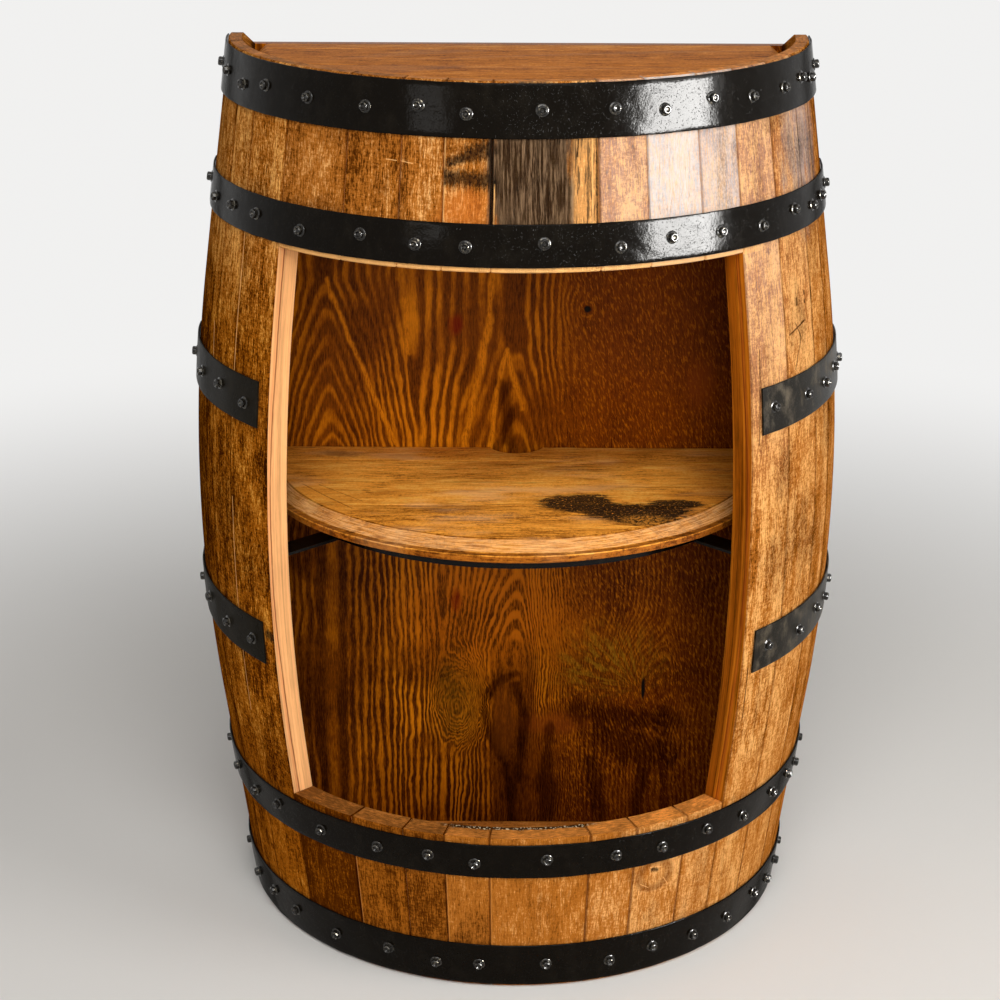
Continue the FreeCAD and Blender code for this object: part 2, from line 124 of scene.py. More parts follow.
class Finishes(bpy.types.PropertyGroup):
    oak_dark: colour("Oak, dark", tint(92, 46, 8), "Darkest figure of the staves")
    oak_mid: colour("Oak, middle", tint(178, 107, 38), "Usual colour of the staves")
    oak_light: colour("Oak, light", tint(244, 184, 114), "Palest figure of the staves")
    # Painted glare: the pale veil that the window's highlight leaves on the upper right staves,
    # drawn into their colour.
    painted_glare: colour("Washed oak", tint(210, 216, 222), "Skin as pale as a window's glare makes it")
    grey_oak: colour("Weathered oak", tint(94, 75, 56), "Old grey skin left on some staves")
    char: colour("Char", tint(24, 18, 13), "Burnt wood and tar")
    cut_pale: colour("Fresh cut, pale", tint(234, 171, 112), "Sawn face left of the opening")
    # Partly painted shade: the right sawn face looks away from the window and is drawn browner and
    # darker than the pale face across the opening.
    cut_brown: colour("Fresh cut, brown", tint(176, 98, 20), "Sawn face right of the opening")
    cut_line: colour("Cut line", tint(112, 42, 14), "Stained line along the sawn faces")
    end_grain: colour("End grain", tint(192, 120, 52), "Sawn ends of the staves")
    head_dark: colour("Head, dark", tint(118, 62, 20), "Dark figure of the top head")
    head_mid: colour("Head, middle", tint(186, 112, 44), "Usual colour of the top head")
    head_light: colour("Head, light", tint(220, 150, 76), "Pale figure of the top head")
    shelf_dark: colour("Shelf, dark", tint(150, 88, 22), "Dark figure of the shelf")
    shelf_mid: colour("Shelf, middle", tint(240, 158, 58), "Usual colour of the shelf")
    shelf_light: colour("Shelf, light", tint(250, 192, 92), "Pale figure of the shelf")
    stain_dark: colour("Stain, dark", tint(66, 27, 3), "Soft grain of the back panel")
    stain_mid: colour("Stain, middle", tint(133, 67, 6), "Between soft and hard grain")
    stain_light: colour("Stain, light", tint(216, 126, 15), "Hard grain of the back panel")
    stain_red: colour("Stain, red", tint(96, 30, 3), "Redder stain on the panel's right")
    enamel: colour("Enamel", tint(11, 7, 3), "Black paint of the hoops")
    strap: colour("Strap", tint(24, 20, 13), "Duller paint of the four side straps")
    floor: colour("Floor", tint(222, 220, 217), "Pale studio floor")


class Studio(bpy.types.PropertyGroup):
    camera_height: length("Camera height", 1.2332, "Above the floor")
    camera_distance: length("Camera distance", 2.2734, "In front of the sawn side")
    camera_side: length("Camera side", -0.0030, "To the right of the barrel's axis")
    camera_pitch: angle_of("Pitch", 19.832, "Camera looks down by this angle")
    camera_turn: angle_of("Turn", 0.345, "Camera looks left by this angle")
    camera_roll: angle_of("Roll", 0.188, "Camera leans by this angle")
    lens: FloatProperty(name="Lens", description="Focal length on a 36 mm frame, in mm",
                        default=82.65)
    window_watts: FloatProperty(name="Window", description="Power of the window light",
                                default=26.0, unit="POWER")
    glint_watts: FloatProperty(name="Glint", description="Power of the window's reflection",
                               default=300.0, unit="POWER")
    side_watts: FloatProperty(name="Side glint", description="Power of the left reflection",
                              default=2.2, unit="POWER")
    fill_watts: FloatProperty(name="Fill", description="Power of the light high in front",
                              default=76.0, unit="POWER")
    front_watts: FloatProperty(name="Front", description="Power of the low light in front",
                               default=34.0, unit="POWER")
    ambient: FloatProperty(name="Ambient", description="Strength of the even surround light",
                           default=0.25)
    backdrop: FloatProperty(name="Backdrop", description="Brightness of the pale surround",
                            default=0.88)


GROUPS = {"barrel": BarrelSizes, "boards": BoardSizes, "screws": ScrewSizes,
          "finishes": Finishes, "studio": Studio}


def sizes(group):
    return getattr(bpy.context.scene, "half_barrel_" + group)


# ---------------------------------------------------------------- the barrel's shape

def outer_radius(z):
    """Outside of the staves: an arc round half height, then straight and tangent to it."""
    barrel = sizes("barrel")
    bend = barrel.bend_half_height
    bend_radius = bend / math.sin(barrel.end_taper)
    reach = abs(z - HEIGHT / 2)
    if reach <= bend:
        return barrel.bilge_radius - bend_radius + math.sqrt(bend_radius**2 - reach**2)
    drop = bend * math.tan(barrel.end_taper / 2)
    return barrel.bilge_radius - drop - (reach - bend) * math.tan(barrel.end_taper)


def surface_lean(z):
    """Angle of the staves' outside, positive where it faces upwards."""
    barrel = sizes("barrel")
    reach = z - HEIGHT / 2
    if abs(reach) <= barrel.bend_half_height:
        return math.asin(reach / barrel.bend_half_height * math.sin(barrel.end_taper))
    return math.copysign(barrel.end_taper, reach)


def place(radius, angle, z):
    """Point round the barrel's axis. Angle 0 is the front and positive is to the right."""
    return Vector((AXIS_X + radius * math.sin(angle), SAWN_Y - radius * math.cos(angle), z))


def polar(point):
    """Radius, angle and height of a point."""
    x = point.x - AXIS_X
    y = SAWN_Y - point.y
    return math.hypot(x, y), math.atan2(x, y), point.z


def span(node):
    """First and last angle of a CAD node round the axis."""
    angles = [polar(vertex.co)[1] for vertex in NODES[node].data.vertices]
    return min(angles), max(angles)


def steps(start, end, size):
    """Even steps from start to end, no longer than a size."""
    count = max(1, math.ceil(abs(end - start) / size))
    return [start + (end - start) * i / count for i in range(count + 1)]


# ---------------------------------------------------------------- meshes

WELD = 1e-6                         # points closer than this are one
STAVE_TURN = math.radians(1.1)      # steps round a stave
STAVE_RISE = 0.009                  # and along it,
HOOP_TURN = math.radians(0.8)       # and round a hoop
CROZE_MARGIN = 0.004                # from the croze to the first even step
SKIN_WAVE = 0.0003                  # unevenness of a stave's skin
HOOP_WAVE = 0.0003                  # and of a hoop
SHANK_LENGTH = 0.0145


class Piece:
    """Vertices and faces of one new piece, with what its finish needs to know at each vertex."""

    def __init__(self, tone=(0.0, 0.0)):
        self.points = []
        self.grain = []     # across, depth and along the wood's grain, in metres
        self.spot = []      # where it is on the cabinet, as its material reads it
        self.looks = []     # paler and redder than the usual wood, and mm to the nearest joint
        self.faces = []
        self.tone = tone

    def add(self, point, grain, spot, joint=99.0):
        self.points.append(point)
        self.grain.append(grain)
        self.spot.append(spot)
        self.looks.append((*self.tone, joint))
        return len(self.points) - 1

    def bridge(self, first, second):
        """Quads between two closed runs of vertices."""
        for i in range(len(first)):
            j = (i + 1) % len(first)
            self.faces.append((first[i], first[j], second[j], second[i]))

    def finish(self, name, node, slot, materials, smooth_angle=40.0, choose=None):
        """Object that stands for a CAD node; choose picks the material of a face."""
        mesh = bpy.data.meshes.new(name)
        mesh.from_pydata(self.points, [], self.faces)
        for title, values in (("grain", self.grain), ("spot", self.spot), ("tone", self.looks)):
            attribute = mesh.attributes.new(title, "FLOAT_VECTOR", "POINT")
            attribute.data.foreach_set("vector", [x for value in values for x in value])
        work = bmesh.new()
        work.from_mesh(mesh)
        bmesh.ops.remove_doubles(work, verts=work.verts, dist=WELD)
        bmesh.ops.recalc_face_normals(work, faces=work.faces)
        work.to_mesh(mesh)
        work.free()
        for material in materials:
            mesh.materials.append(material)
        if choose:
            for polygon in mesh.polygons:
                polygon.material_index = choose(polygon)
        mesh.shade_smooth()
        mesh.set_sharp_from_angle(angle=math.radians(smooth_angle))
        piece = bpy.data.objects.new(name, mesh)
        bpy.context.scene.collection.objects.link(piece)
        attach(piece, "root")
        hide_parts(node)
        return piece


def rough(a, b, c, seed):
    """Smooth noise from -1 to 1."""
    return noise.noise(Vector((a, b, c + 17.3 * seed)))


def inset(loop, depth):
    """Closed (r, z) outline moved inwards."""
    moved = []
    count = len(loop)
    turn = sum(loop[i - 1][0] * loop[i][1] - loop[i][0] * loop[i - 1][1] for i in range(count))
    side = 1 if turn > 0 else -1
    for i in range(count):
        before, here, after = loop[i - 1], loop[i], loop[(i + 1) % count]
        dx, dz = after[0] - before[0], after[1] - before[1]
        size = math.hypot(dx, dz)
        moved.append((here[0] - side * depth * dz / size, here[1] + side * depth * dx / size))
    return moved


class StaveSection:
    """Closed (r, z) outline of a stave between two heights, with its chimes and crozes."""

    def __init__(self, low, high):
        barrel, board = sizes("barrel"), sizes("boards")
        self.wall, wear = barrel.stave_thickness, barrel.edge_wear
        head_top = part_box("top_head_board_1")[1].z
        groove_high = head_top - board.outer_bevel_drop + FIT_GAP
        groove_low = groove_high - board.tongue_thickness - 2 * FIT_GAP
        groove = self.inner((groove_low + groove_high) / 2) + barrel.croze_depth
        chime = [(outer_radius(HEIGHT) - barrel.chime_flat, HEIGHT),
                 (self.inner(head_top), head_top), (self.inner(groove_high), groove_high),
                 (groove, groove_high), (groove, groove_low),
                 (self.inner(groove_low), groove_low)]
        whole_top = high > HEIGHT - wear
        whole_foot = low < wear
        top = chime if whole_top else [(self.inner(high) + wear, high)]
        foot = ([(r, HEIGHT - z) for r, z in reversed(chime)] if whole_foot
                else [(self.inner(low) + wear, low)])
        plain_high = groove_low - CROZE_MARGIN if whole_top else high - wear
        plain_low = HEIGHT - groove_low + CROZE_MARGIN if whole_foot else low + wear
        plain = steps(plain_low, plain_high, STAVE_RISE)
        below = [(outer_radius(z), z) for z in steps(low + wear, plain_low, STAVE_RISE)[:-1]]
        above = [(outer_radius(z), z) for z in steps(plain_high, high - wear, STAVE_RISE)[1:]]
        outer_low = [(outer_radius(low) - wear, low)] + (below if whole_foot else [])
        outer_high = (above if whole_top else []) + [(outer_radius(high) - wear, high)]
        self.first_outer = len(outer_low)
        self.count = len(plain)
        self.first_inner = self.first_outer + self.count + len(outer_high) + len(top)
        self.outline = (outer_low + [(outer_radius(z), z) for z in plain] + outer_high + top
                        + [(self.inner(z), z) for z in reversed(plain)] + foot)

    def inner(self, z):
        return outer_radius(z) - self.wall

    def cap(self, ring):
        """Faces that close a side: a ladder along the plain wall and one face at each end."""
        a, b, n = self.first_outer, self.first_inner, self.count
        rungs = [(ring[a + i], ring[a + i + 1], ring[b + n - 2 - i], ring[b + n - 1 - i])
                 for i in range(n - 1)]
        return rungs + [tuple(ring[a + n - 1:b + 1]), tuple(ring[b + n - 1:] + ring[:a + 1])]


SKIN, SIDE, END = 0, 1, 2


def stave_face(polygon):
    """Which material a stave's face takes: its skin, a sawn side or a sawn end."""
    if abs(polygon.normal.z) > 0.8:
        return END
    angle = polar(polygon.center)[1]
    around = polygon.normal.x * math.cos(angle) + polygon.normal.y * math.sin(angle)
    return SIDE if abs(around) > 0.85 else SKIN


def build_stave(node, seed, tone, materials):
    """One stave: its outline swept round its angle, with worn edges and an uneven skin."""
    barrel = sizes("barrel")
    low, high = (corner.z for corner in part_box(node))
    start, end = span(node)
    middle = (start + end) / 2
    worn = barrel.edge_wear / barrel.bilge_radius
    angles = [start] + steps(start + worn, end - worn, STAVE_TURN) + [end]
    section = StaveSection(low, high)
    narrow = inset(section.outline, barrel.edge_wear)
    sunk = barrel.stave_step * (0.5 + 0.5 * rough(seed * 3.7, 1.1, 2.3, 0))
    piece = Piece(tone)
    rings = []
    for angle in angles:
        ring = []
        for r, z in (narrow if angle in (start, end) else section.outline):
            depth = r - outer_radius(z)
            hollow = 0.0
            if depth > -0.002:
                hollow = sunk + SKIN_WAVE * (1 + rough(angle * 34, z * 8, 0, seed))
            across = outer_radius(z) * (angle - middle)
            grain = (across + 1.37 * seed, depth + 0.61 * seed, z + 2.11 * seed)
            joint = 1000 * outer_radius(z) * min(angle - start, end - angle)
            ring.append(piece.add(place(r - hollow, angle, z), grain,
                                  (math.degrees(angle), depth * 1000, z * 1000), joint))
        rings.append(ring)
    for first, second in zip(rings, rings[1:]):
        piece.bridge(first, second)
    piece.faces += section.cap(rings[0]) + section.cap(rings[-1])
    return piece.finish(node + "_wood", node, "stave_oak", materials, choose=stave_face)


def rounded_strip(width, thickness, bulge):
    """Closed (depth, height) outline of a rolled steel strip, its edges rounded."""
    corner = thickness * 0.45
    points = []
    for side, rise, first in ((0, -1, 180), (1, -1, 270), (1, 1, 0), (0, 1, 90)):
        centre = (thickness - corner if side else corner, rise * (width / 2 - corner))
        for turn in (0, 30, 60, 90):
            angle = math.radians(first + turn)
            points.append((centre[0] + corner * math.cos(angle),
                           centre[1] + corner * math.sin(angle)))
        if side == 1 and rise == -1:
            for share in (-0.8, -0.5, -0.2, 0.2, 0.5, 0.8):
                points.append((thickness + bulge * (1 - share**2), share * width / 2))
    return points


def build_hoop(node, seed, material):
    """Steel strap on the cone of the staves, a little wavy as rolled and nailed straps are."""
    barrel = sizes("barrel")
    low, high = (corner.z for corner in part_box(node))
    start, end = span(node)
    z = (low + high) / 2
    lean = surface_lean(z)
    width = (high - low - barrel.hoop_thickness * abs(math.sin(lean))) / math.cos(lean)
    z -= barrel.hoop_thickness * math.sin(lean) / 2
    base = outer_radius(z) + FIT_GAP
    section = rounded_strip(width, barrel.hoop_thickness, 0.00015)
    piece = Piece()
    rings = []
    for angle in steps(start, end, HOOP_TURN):
        ring = []
        for depth, height in section:
            wave = HOOP_WAVE * rough(angle * 11, height * 36, 0, seed)
            ripple = HOOP_WAVE * rough(angle * 20, math.copysign(5, height), 3, seed)
            out, up = depth + wave + HOOP_WAVE, height + ripple
            r = base + out * math.cos(lean) - up * math.sin(lean)
            h = z + out * math.sin(lean) + up * math.cos(lean)
            spot = (math.degrees(angle), depth * 1000, height * 1000)
            ring.append(piece.add(place(r, angle, h), (base * angle + seed, depth, height), spot))
        rings.append(ring)
    for first, second in zip(rings, rings[1:]):
        piece.bridge(first, second)
    piece.faces += [tuple(rings[0]), tuple(rings[-1])]
    return piece.finish(node + "_strap", node, "hoop_steel", [material], 30.0)


def screw_places(node):
    """Vertices of each separate screw in a CAD node."""
    work = bmesh.new()
    work.from_mesh(NODES[node].data)
    bmesh.ops.remove_doubles(work, verts=work.verts, dist=WELD)
    seen = set()
    groups = []
    for vertex in work.verts:
        if vertex in seen:
            continue
        stack, found = [vertex], []
        seen.add(vertex)
        while stack:
            here = stack.pop()
            found.append(here.co.copy())
            for edge in here.link_edges:
                other = edge.other_vert(here)
                if other not in seen:
                    seen.add(other)
                    stack.append(other)
        groups.append(found)
    work.free()
    return groups


def hex_head():
    """Rings of a hex washer head with a dished top: radius, height and squareness of each."""
    screw = sizes("screws")
    flat = screw.across_flats / 2
    top = screw.head_height
    washer = screw.washer_radius
    return [(screw.shank_radius, -SHANK_LENGTH, 0), (screw.shank_radius, 0.0, 0),
            (washer, 0.0, 0), (washer, 0.0005, 0),
            (washer - 0.0003, 0.0009, 0), (washer - 0.0009, 0.0012, 0),
            (flat, screw.washer_height + 0.0002, 1), (flat, top - 0.0011, 1),
            (flat - 0.0002, top - 0.0006, 0.6), (flat - 0.0006, top - 0.0001, 0),
            (flat - 0.0009, top, 0), (screw.recess_radius, top - 0.0001, 0),
            (screw.recess_radius - 0.0004, top - 0.0006, 0),
            (screw.recess_radius * 0.55, top - screw.recess_depth, 0),
            (0.0003, top - screw.recess_depth - 0.0002, 0)]


def build_screws(node, suffix, slot, rings, seats, material, segments=30):
    """Group of turned heads, one at each seat."""
    piece = Piece()
    for number, (seat, direction, spin) in enumerate(seats):
        turn = direction.to_track_quat("Z", "Y").to_matrix().to_4x4()
        own_frame = Matrix.Translation(seat) @ turn @ Matrix.Rotation(spin, 4, "Z")
        made = []
        for radius, height, square in rings:
            ring = []
            for i in range(segments):
                angle = 2 * math.pi * i / segments
                off = (angle + math.pi / 6) % (math.pi / 3) - math.pi / 6
                r = radius * (1 + square * (1 / math.cos(off) - 1))
                local = Vector((r * math.cos(angle), r * math.sin(angle), height))
                ring.append(piece.add(own_frame @ local, (local.x + number, local.y, height),
                                      (local.x, local.y, local.z)))
            made.append(ring)
        for first, second in zip(made, made[1:]):
            piece.bridge(first, second)
        piece.faces += [tuple(made[0]), tuple(made[-1])]
    return piece.finish(node + suffix, node, slot, [material], 30.0)


# ---------------------------------------------------------------- boards of heads and shelf

def board_ring(radius, back, front, notch):
    """Outline of one board of a disc at one level: back edge, right arc, front edge, left arc."""
    board = sizes("boards")
    arcs, cuts = 40, 14
    front = max(front, -radius)

    def edge(y):
        return math.sqrt(max(radius**2 - y**2, 0.0))

    if notch:
        centre_y = board.shelf_centre + board.notch_radius - board.notch_depth - notch
        turn = math.acos(min(1.0, (centre_y - back) / board.notch_radius))
        half = board.notch_radius * math.sin(turn)
        bow = [(board.notch_radius * math.sin(a), centre_y - board.notch_radius * math.cos(a))
               for a in steps(-turn, turn, turn / 8)]
        points = ([(x, back) for x in steps(-edge(back), -half - 0.001, 0.05)] + bow
                  + [(x, back) for x in steps(half + 0.001, edge(back), 0.05)])
    else:
        points = [(-edge(back) + 2 * edge(back) * i / cuts, back) for i in range(cuts + 1)]
    high, low = math.asin(max(-1, min(1, back / radius))), math.asin(max(-1, front / radius))
    arc = [high + (low - high) * i / arcs for i in range(1, arcs)]
    points += [(radius * math.cos(a), radius * math.sin(a)) for a in arc]
    points += [(edge(front) - 2 * edge(front) * i / cuts, front) for i in range(cuts + 1)]
    points += [(-radius * math.cos(a), radius * math.sin(a)) for a in reversed(arc)]
    return points


def build_board(node, seed, radius, centre_y, slot, material, upside_down=False, notch=0.0):
    """One board of a head or of the shelf."""
    board = sizes("boards")
    low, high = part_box(node)
    back, front = high.y - centre_y, low.y - centre_y
    if front < -radius + 0.001:
        front = -radius
    thick = high.z - low.z
    shoulder = radius - board.tongue_reach
    drop = board.outer_bevel_drop
    tongue = drop + board.tongue_thickness
    flat = shoulder - board.outer_bevel_width
    soft = 0.0006
    levels = [(flat - 3 * soft, 0.0, soft), (flat, 0.6 * soft, 0.0),
              (flat + 2 * soft, 2 * soft, 0.0), (shoulder - 2 * soft, drop - 2 * soft, 0.0),
              (shoulder, drop - 0.4 * soft, 0.0), (shoulder + 2 * soft, drop, 0.0),
              (radius - soft, drop, 0.0), (radius, drop + soft, 0.0),
              (radius, tongue - soft, 0.0), (radius - soft, tongue, 0.0),
              (shoulder, tongue, 0.0), (shoulder - board.inner_bevel_width, thick - soft, 0.0),
              (shoulder - board.inner_bevel_width - soft, thick, soft)]
    piece = Piece((0.02 * math.sin(seed * 2.3), 0.0))
    rings = []
    for r, depth, pull in levels:
        z = low.z + depth if upside_down else high.z - depth
        keep_front = front if front <= -radius else front + pull
        ring = []
        for x, y in board_ring(r, back - pull, keep_front, notch + pull if notch else 0.0):
            worn = 0.0004 * rough(x * 24, y * 24, depth * 60, seed) if 0 < depth < tongue else 0.0
            point = Vector((AXIS_X + x, centre_y + y, z - worn))
            grain = (y + 0.83 * seed, depth, x + 1.9 * seed)
            spot = (x * 1000, (y + centre_y - SAWN_Y) * 1000, depth * 1000)
            ring.append(piece.add(point, grain, spot))
        rings.append(ring)
    for first, second in zip(rings, rings[1:]):
        piece.bridge(first, second)
    piece.faces += [tuple(rings[0]), tuple(rings[-1])]
    return piece.finish(node + "_wood", node, slot, [material], 28.0)


# ---------------------------------------------------------------- materials

class Shader:
    """One material's node tree, with short names for the nodes it is made of."""

    def __init__(self, name):
        self.material = bpy.data.materials.new(name)
        self.material.use_nodes = True
        self.tree = self.material.node_tree
        self.tree.nodes.clear()
        self.output = self.add("ShaderNodeOutputMaterial")
        self.surface = self.add("ShaderNodeBsdfPrincipled")
        self.tree.links.new(self.surface.outputs[0], self.output.inputs[0])

    def add(self, kind, sockets=None, **settings):
        made = self.tree.nodes.new(kind)
        for key, value in settings.items():
            setattr(made, key, value)
        for socket, value in (sockets or {}).items():
            self.feed(made.inputs[socket], value)
        return made

    def feed(self, socket, value):
        if isinstance(value, bpy.types.NodeSocket):
            self.tree.links.new(value, socket)
        elif socket.type == "RGBA":
            socket.default_value = (*value[:3], 1.0)
        else:
            socket.default_value = value

    def look(self, **values):
        """Sockets of the surface, spelt with underscores."""
        for title, value in values.items():
            self.feed(self.surface.inputs[title.replace("_", " ")], value)

    def attribute(self, name):
        return self.add("ShaderNodeAttribute", attribute_name=name).outputs["Vector"]

    def where(self):
        return self.add("ShaderNodeTexCoord").outputs["Object"]

    def math(self, operation, a, b=0.0, c=0.0):
        return self.add("ShaderNodeMath", {0: a, 1: b, 2: c}, operation=operation).outputs[0]

    def times(self, product, *others):
        for other in others:
            product = self.math("MULTIPLY", product, other)
        return product

    def plus(self, a, b):
        return self.math("ADD", a, b)

    def times_plus(self, a, b, c):
        return self.math("MULTIPLY_ADD", a, b, c)

    def rest(self, share):
        """What a share leaves of 1."""
        return self.math("SUBTRACT", 1.0, share)

    def larger(self, a, b):
        return self.math("MAXIMUM", a, b)

    def smallest(self, least, *others):
        for other in others:
            least = self.math("MINIMUM", least, other)
        return least

    def absolute(self, value):
        return self.math("ABSOLUTE", value)

    def vector(self, operation, a, b=(0, 0, 0)):
        made = self.add("ShaderNodeVectorMath", {0: a, 1: b}, operation=operation)
        return made.outputs["Value" if operation in ("LENGTH", "DOT_PRODUCT") else "Vector"]

    def split(self, vector):
        return self.add("ShaderNodeSeparateXYZ", {0: vector}).outputs

    def join(self, x, y, z):
        return self.add("ShaderNodeCombineXYZ", {0: x, 1: y, 2: z}).outputs[0]

    def noise(self, vector, scale=(1, 1, 1), detail=3.0, roughness=0.55, distortion=0.0,
              shift=(0, 0, 0)):
        moved = self.add("ShaderNodeMapping", {"Vector": vector, "Scale": scale,
                                               "Location": shift}).outputs[0]
        made = self.add("ShaderNodeTexNoise", {"Vector": moved, "Scale": 1.0, "Detail": detail,
                                               "Roughness": roughness,
                                               "Distortion": distortion})
        return made.outputs["Fac"]

    def band(self, value, low, high, to_low=0.0, to_high=1.0, kind="SMOOTHSTEP"):
        """Value rescaled from low..high and held at its ends."""
        return self.add("ShaderNodeMapRange", {0: value, 1: low, 2: high, 3: to_low, 4: to_high},
                        interpolation_type=kind).outputs[0]

    def mix(self, share, a, b, blend="MIX"):
        return self.add("ShaderNodeMix", {0: share, 6: a, 7: b}, data_type="RGBA",
                        blend_type=blend).outputs[2]

    def darken(self, share, shade, factor):
        """Colour multiplied by a grey or tinted factor where share is 1."""
        factor = (factor,) * 3 if isinstance(factor, float) else factor
        return self.mix(share, shade, factor, "MULTIPLY")

    def ramp(self, value, stops):
        made = self.add("ShaderNodeValToRGB", {0: value})
        row = made.color_ramp.elements
        while len(row) < len(stops):
            row.new(0.5)
        for element, (position, shade) in zip(row, stops):
            element.position = position
            element.color = (*shade, 1.0)
        return made.outputs[0]

    def gloss(self, level, edge_on):
        """Specular level, and the share of it that is left where the surface is seen edge-on."""
        facing = self.add("ShaderNodeLayerWeight", {"Blend": 0.5}).outputs["Facing"]
        return self.band(facing, 0.62, 0.76, level, level * edge_on)

    def bump(self, height, distance, strength=1.0):
        return self.add("ShaderNodeBump", {"Height": height, "Distance": distance,
                                           "Strength": strength}).outputs[0]

    def far(self, spot, centre, size):
        """Distance from a mark's centre, where 1 is its outline."""
        away = self.vector("SUBTRACT", spot, centre)
        return self.vector("LENGTH", self.vector("MULTIPLY", away, [1 / s for s in size]))

    def inside(self, distance, ragged, amount, soft):
        """Mask of a mark with a ragged outline, from its distance."""
        edge = self.times_plus(self.math("SUBTRACT", ragged, 0.5), amount, distance)
        return self.band(edge, 1.0 + soft, 1.0 - soft)


def mixed(a, b, share):
    return tuple(x + (y - x) * share for x, y in zip(a, b))


def scaled(shade, factor):
    return tuple(min(1.0, x * factor) for x in shade)


class OakFigure:
    """The noise fields that all the oak of the cabinet is coloured with."""

    def __init__(self, shader, grain, chatter=0.0, across=1.0):
        self.fibre = shader.noise(grain, (820 * across, 820 * across, 80 * across), 4.0, 0.8)
        self.fleck = shader.noise(grain, (640 * across, 640 * across, 320), 3.0, 0.75)
        self.streak = shader.noise(grain, (110, 110, 2.4), 3.0, 0.55, 0.3)
        self.cloud = shader.noise(grain, (44, 44, 20), 5.0, 0.72)
        pores = shader.noise(grain, (1100, 1100, 90), 2.0, 0.5)
        self.pores = shader.band(pores, 0.60, 0.68)
        self.value = shader.times(self.fibre, 0.36)
        parts = [(self.fleck, 0.18), (self.streak, 0.12), (self.cloud, 0.24)]
        if chatter:
            parts.append((shader.noise(grain, (150, 150, 480), 3.0, 0.7, 0.5), chatter))
        for field, share in parts:
            self.value = shader.times_plus(field, share, self.value)
        self.value = shader.plus(self.value, 0.05 - chatter / 2)

    def shade(self, shader, dark, middle, light, tone=0.0, contrast=1.0):
        """Colour from dark to light, with the pores in it."""
        value = shader.times_plus(shader.plus(self.value, -0.5), contrast, 0.5)
        value = shader.plus(value, tone)
        shade = shader.ramp(value, [(0.385, scaled(dark, 0.6)), (0.435, dark),
                                    (0.48, mixed(dark, middle, 0.75)), (0.52, middle),
                                    (0.565, mixed(middle, light, 0.7)), (0.63, light)])
        return shader.darken(shader.times(self.pores, 0.45), shade, (0.46, 0.38, 0.30))

    def height(self, shader):
        height = shader.times_plus(self.fleck, 0.5, self.fibre)
        return shader.times_plus(self.pores, -0.45, height)


# Soft marks on the staves' skin by kind: angle in degrees, height in mm, half sizes of both.
STAVE_MARKS = {
    "grey": [(2.2, 815, 7.6, 90)],
    "core": [(4.0, 806, 4.4, 44), (-0.6, 826, 2.6, 30)],
    "orange": [(-8.8, 788, 4.4, 20)],
    # painted sheen: greyish haze at the far right of the top band
    "haze": [(64.5, 812, 7.0, 60)],
    "knot": [(27.7, 116, 3.6, 17)],
    "dirt": [
        (-10.0, 838, 3.0, 8), (11.0, 846, 3.4, 7), (-30.9, 846, 6.0, 12), (-23.4, 802, 1.8, 16),
        (-37.0, 780, 5.0, 8), (-53.6, 781, 4.5, 11), (-20.2, 800, 0.8, 34), (61.5, 814, 5.0, 22),
        (62.3, 775, 4.0, 14), (54.0, 845, 4.5, 8), (70.3, 800, 3.0, 30), (57.2, 448, 6.0, 40),
        (51.4, 519, 2.5, 26), (50.8, 428, 4.5, 34), (62.0, 430, 5.0, 26), (57.4, 660, 3.0, 26),
        (70.0, 560, 4.0, 60), (-76.0, 500, 8.0, 160), (-60.0, 470, 6.0, 60),
        (-52.0, 420, 7.0, 26), (-58.0, 330, 7.0, 18), (-50.0, 210, 6.0, 40),
        (-47.0, 520, 2.5, 30)],
}
# Strokes on the skin by kind: angle and height of both ends, half width in mm.
STAVE_STROKES = {
    "char": [
        (-11.8, 829, -5.2, 842, 4.0), (-8.0, 838, -4.9, 843, 7.5), (-12.6, 817, -4.8, 815, 7.0),
        (-4.5, 852, -4.5, 765, 1.7), (10.4, 850, 10.2, 836, 0.7), (13.6, 850, 13.5, 770, 0.8),
        (-47.4, 352, -45.0, 346, 5.0), (27.3, 123, 28.1, 121, 2.2)],
    "split": [
        (54.1, 647, 60.0, 654, 0.9), (45.1, 643, 44.4, 553, 0.5), (44.2, 325, 44.4, 270, 0.7),
        (56.5, 655, 58.2, 640, 0.7), (58.2, 640, 55.6, 612, 0.6), (57.4, 677, 57.4, 673, 2.0),
        (60.6, 681, 60.6, 679, 1.6), (60.6, 672, 60.6, 671, 1.7), (64.0, 690, 63.2, 640, 0.5),
        (-20.8, 800, -20.6, 770, 0.6)],
    "pale": [
        (-23.5, 829, -21.5, 828.5, 0.35), (-20.8, 828.5, -18.5, 827, 0.35),
        (24.8, 108, 26.6, 102, 0.35), (29.8, 110, 31.2, 99, 0.3), (-12.75, 852, -12.75, 765, 0.75),
        (12.9, 850, 12.7, 770, 0.6), (26.6, 126, 28.9, 124, 0.5), (-4.0, 812, -4.1, 768, 0.6),
        (-67.5, 640, -66.0, 560, 0.8), (-57.0, 755, -57.0, 560, 0.6),
        (-57.0, 480, -57.0, 250, 0.5)],
    "seam": [
        (-31.4, 148, -31.4, 50, 0.8), (-12.7, 148, -12.7, 50, 0.8), (-4.3, 148, -4.3, 50, 0.9)],
}
MM_PER_DEGREE = 5.4


def stroke(shader, spot, start, end, half_width):
    """Distance to a straight stroke, where 1 is its outline."""
    run = [b - a for a, b in zip(start, end)]
    away = shader.vector("SUBTRACT", spot, start)
    share = shader.times(shader.vector("DOT_PRODUCT", away, run), 1 / sum(x * x for x in run))
    share = shader.band(share, 0.0, 1.0, kind="LINEAR")
    nearest = shader.vector("MULTIPLY", shader.join(share, share, share), run)
    off = shader.vector("LENGTH", shader.vector("SUBTRACT", away, nearest))
    return shader.times(off, 1 / half_width)


def nearest_stroke(shader, here, strokes):
    """Distance to the nearest of several strokes on an upright surface."""
    return shader.smallest(*[stroke(shader, here, (x, 0, z), (to_x, 0, to_z), half_width)
                             for x, z, to_x, to_z, half_width in strokes])


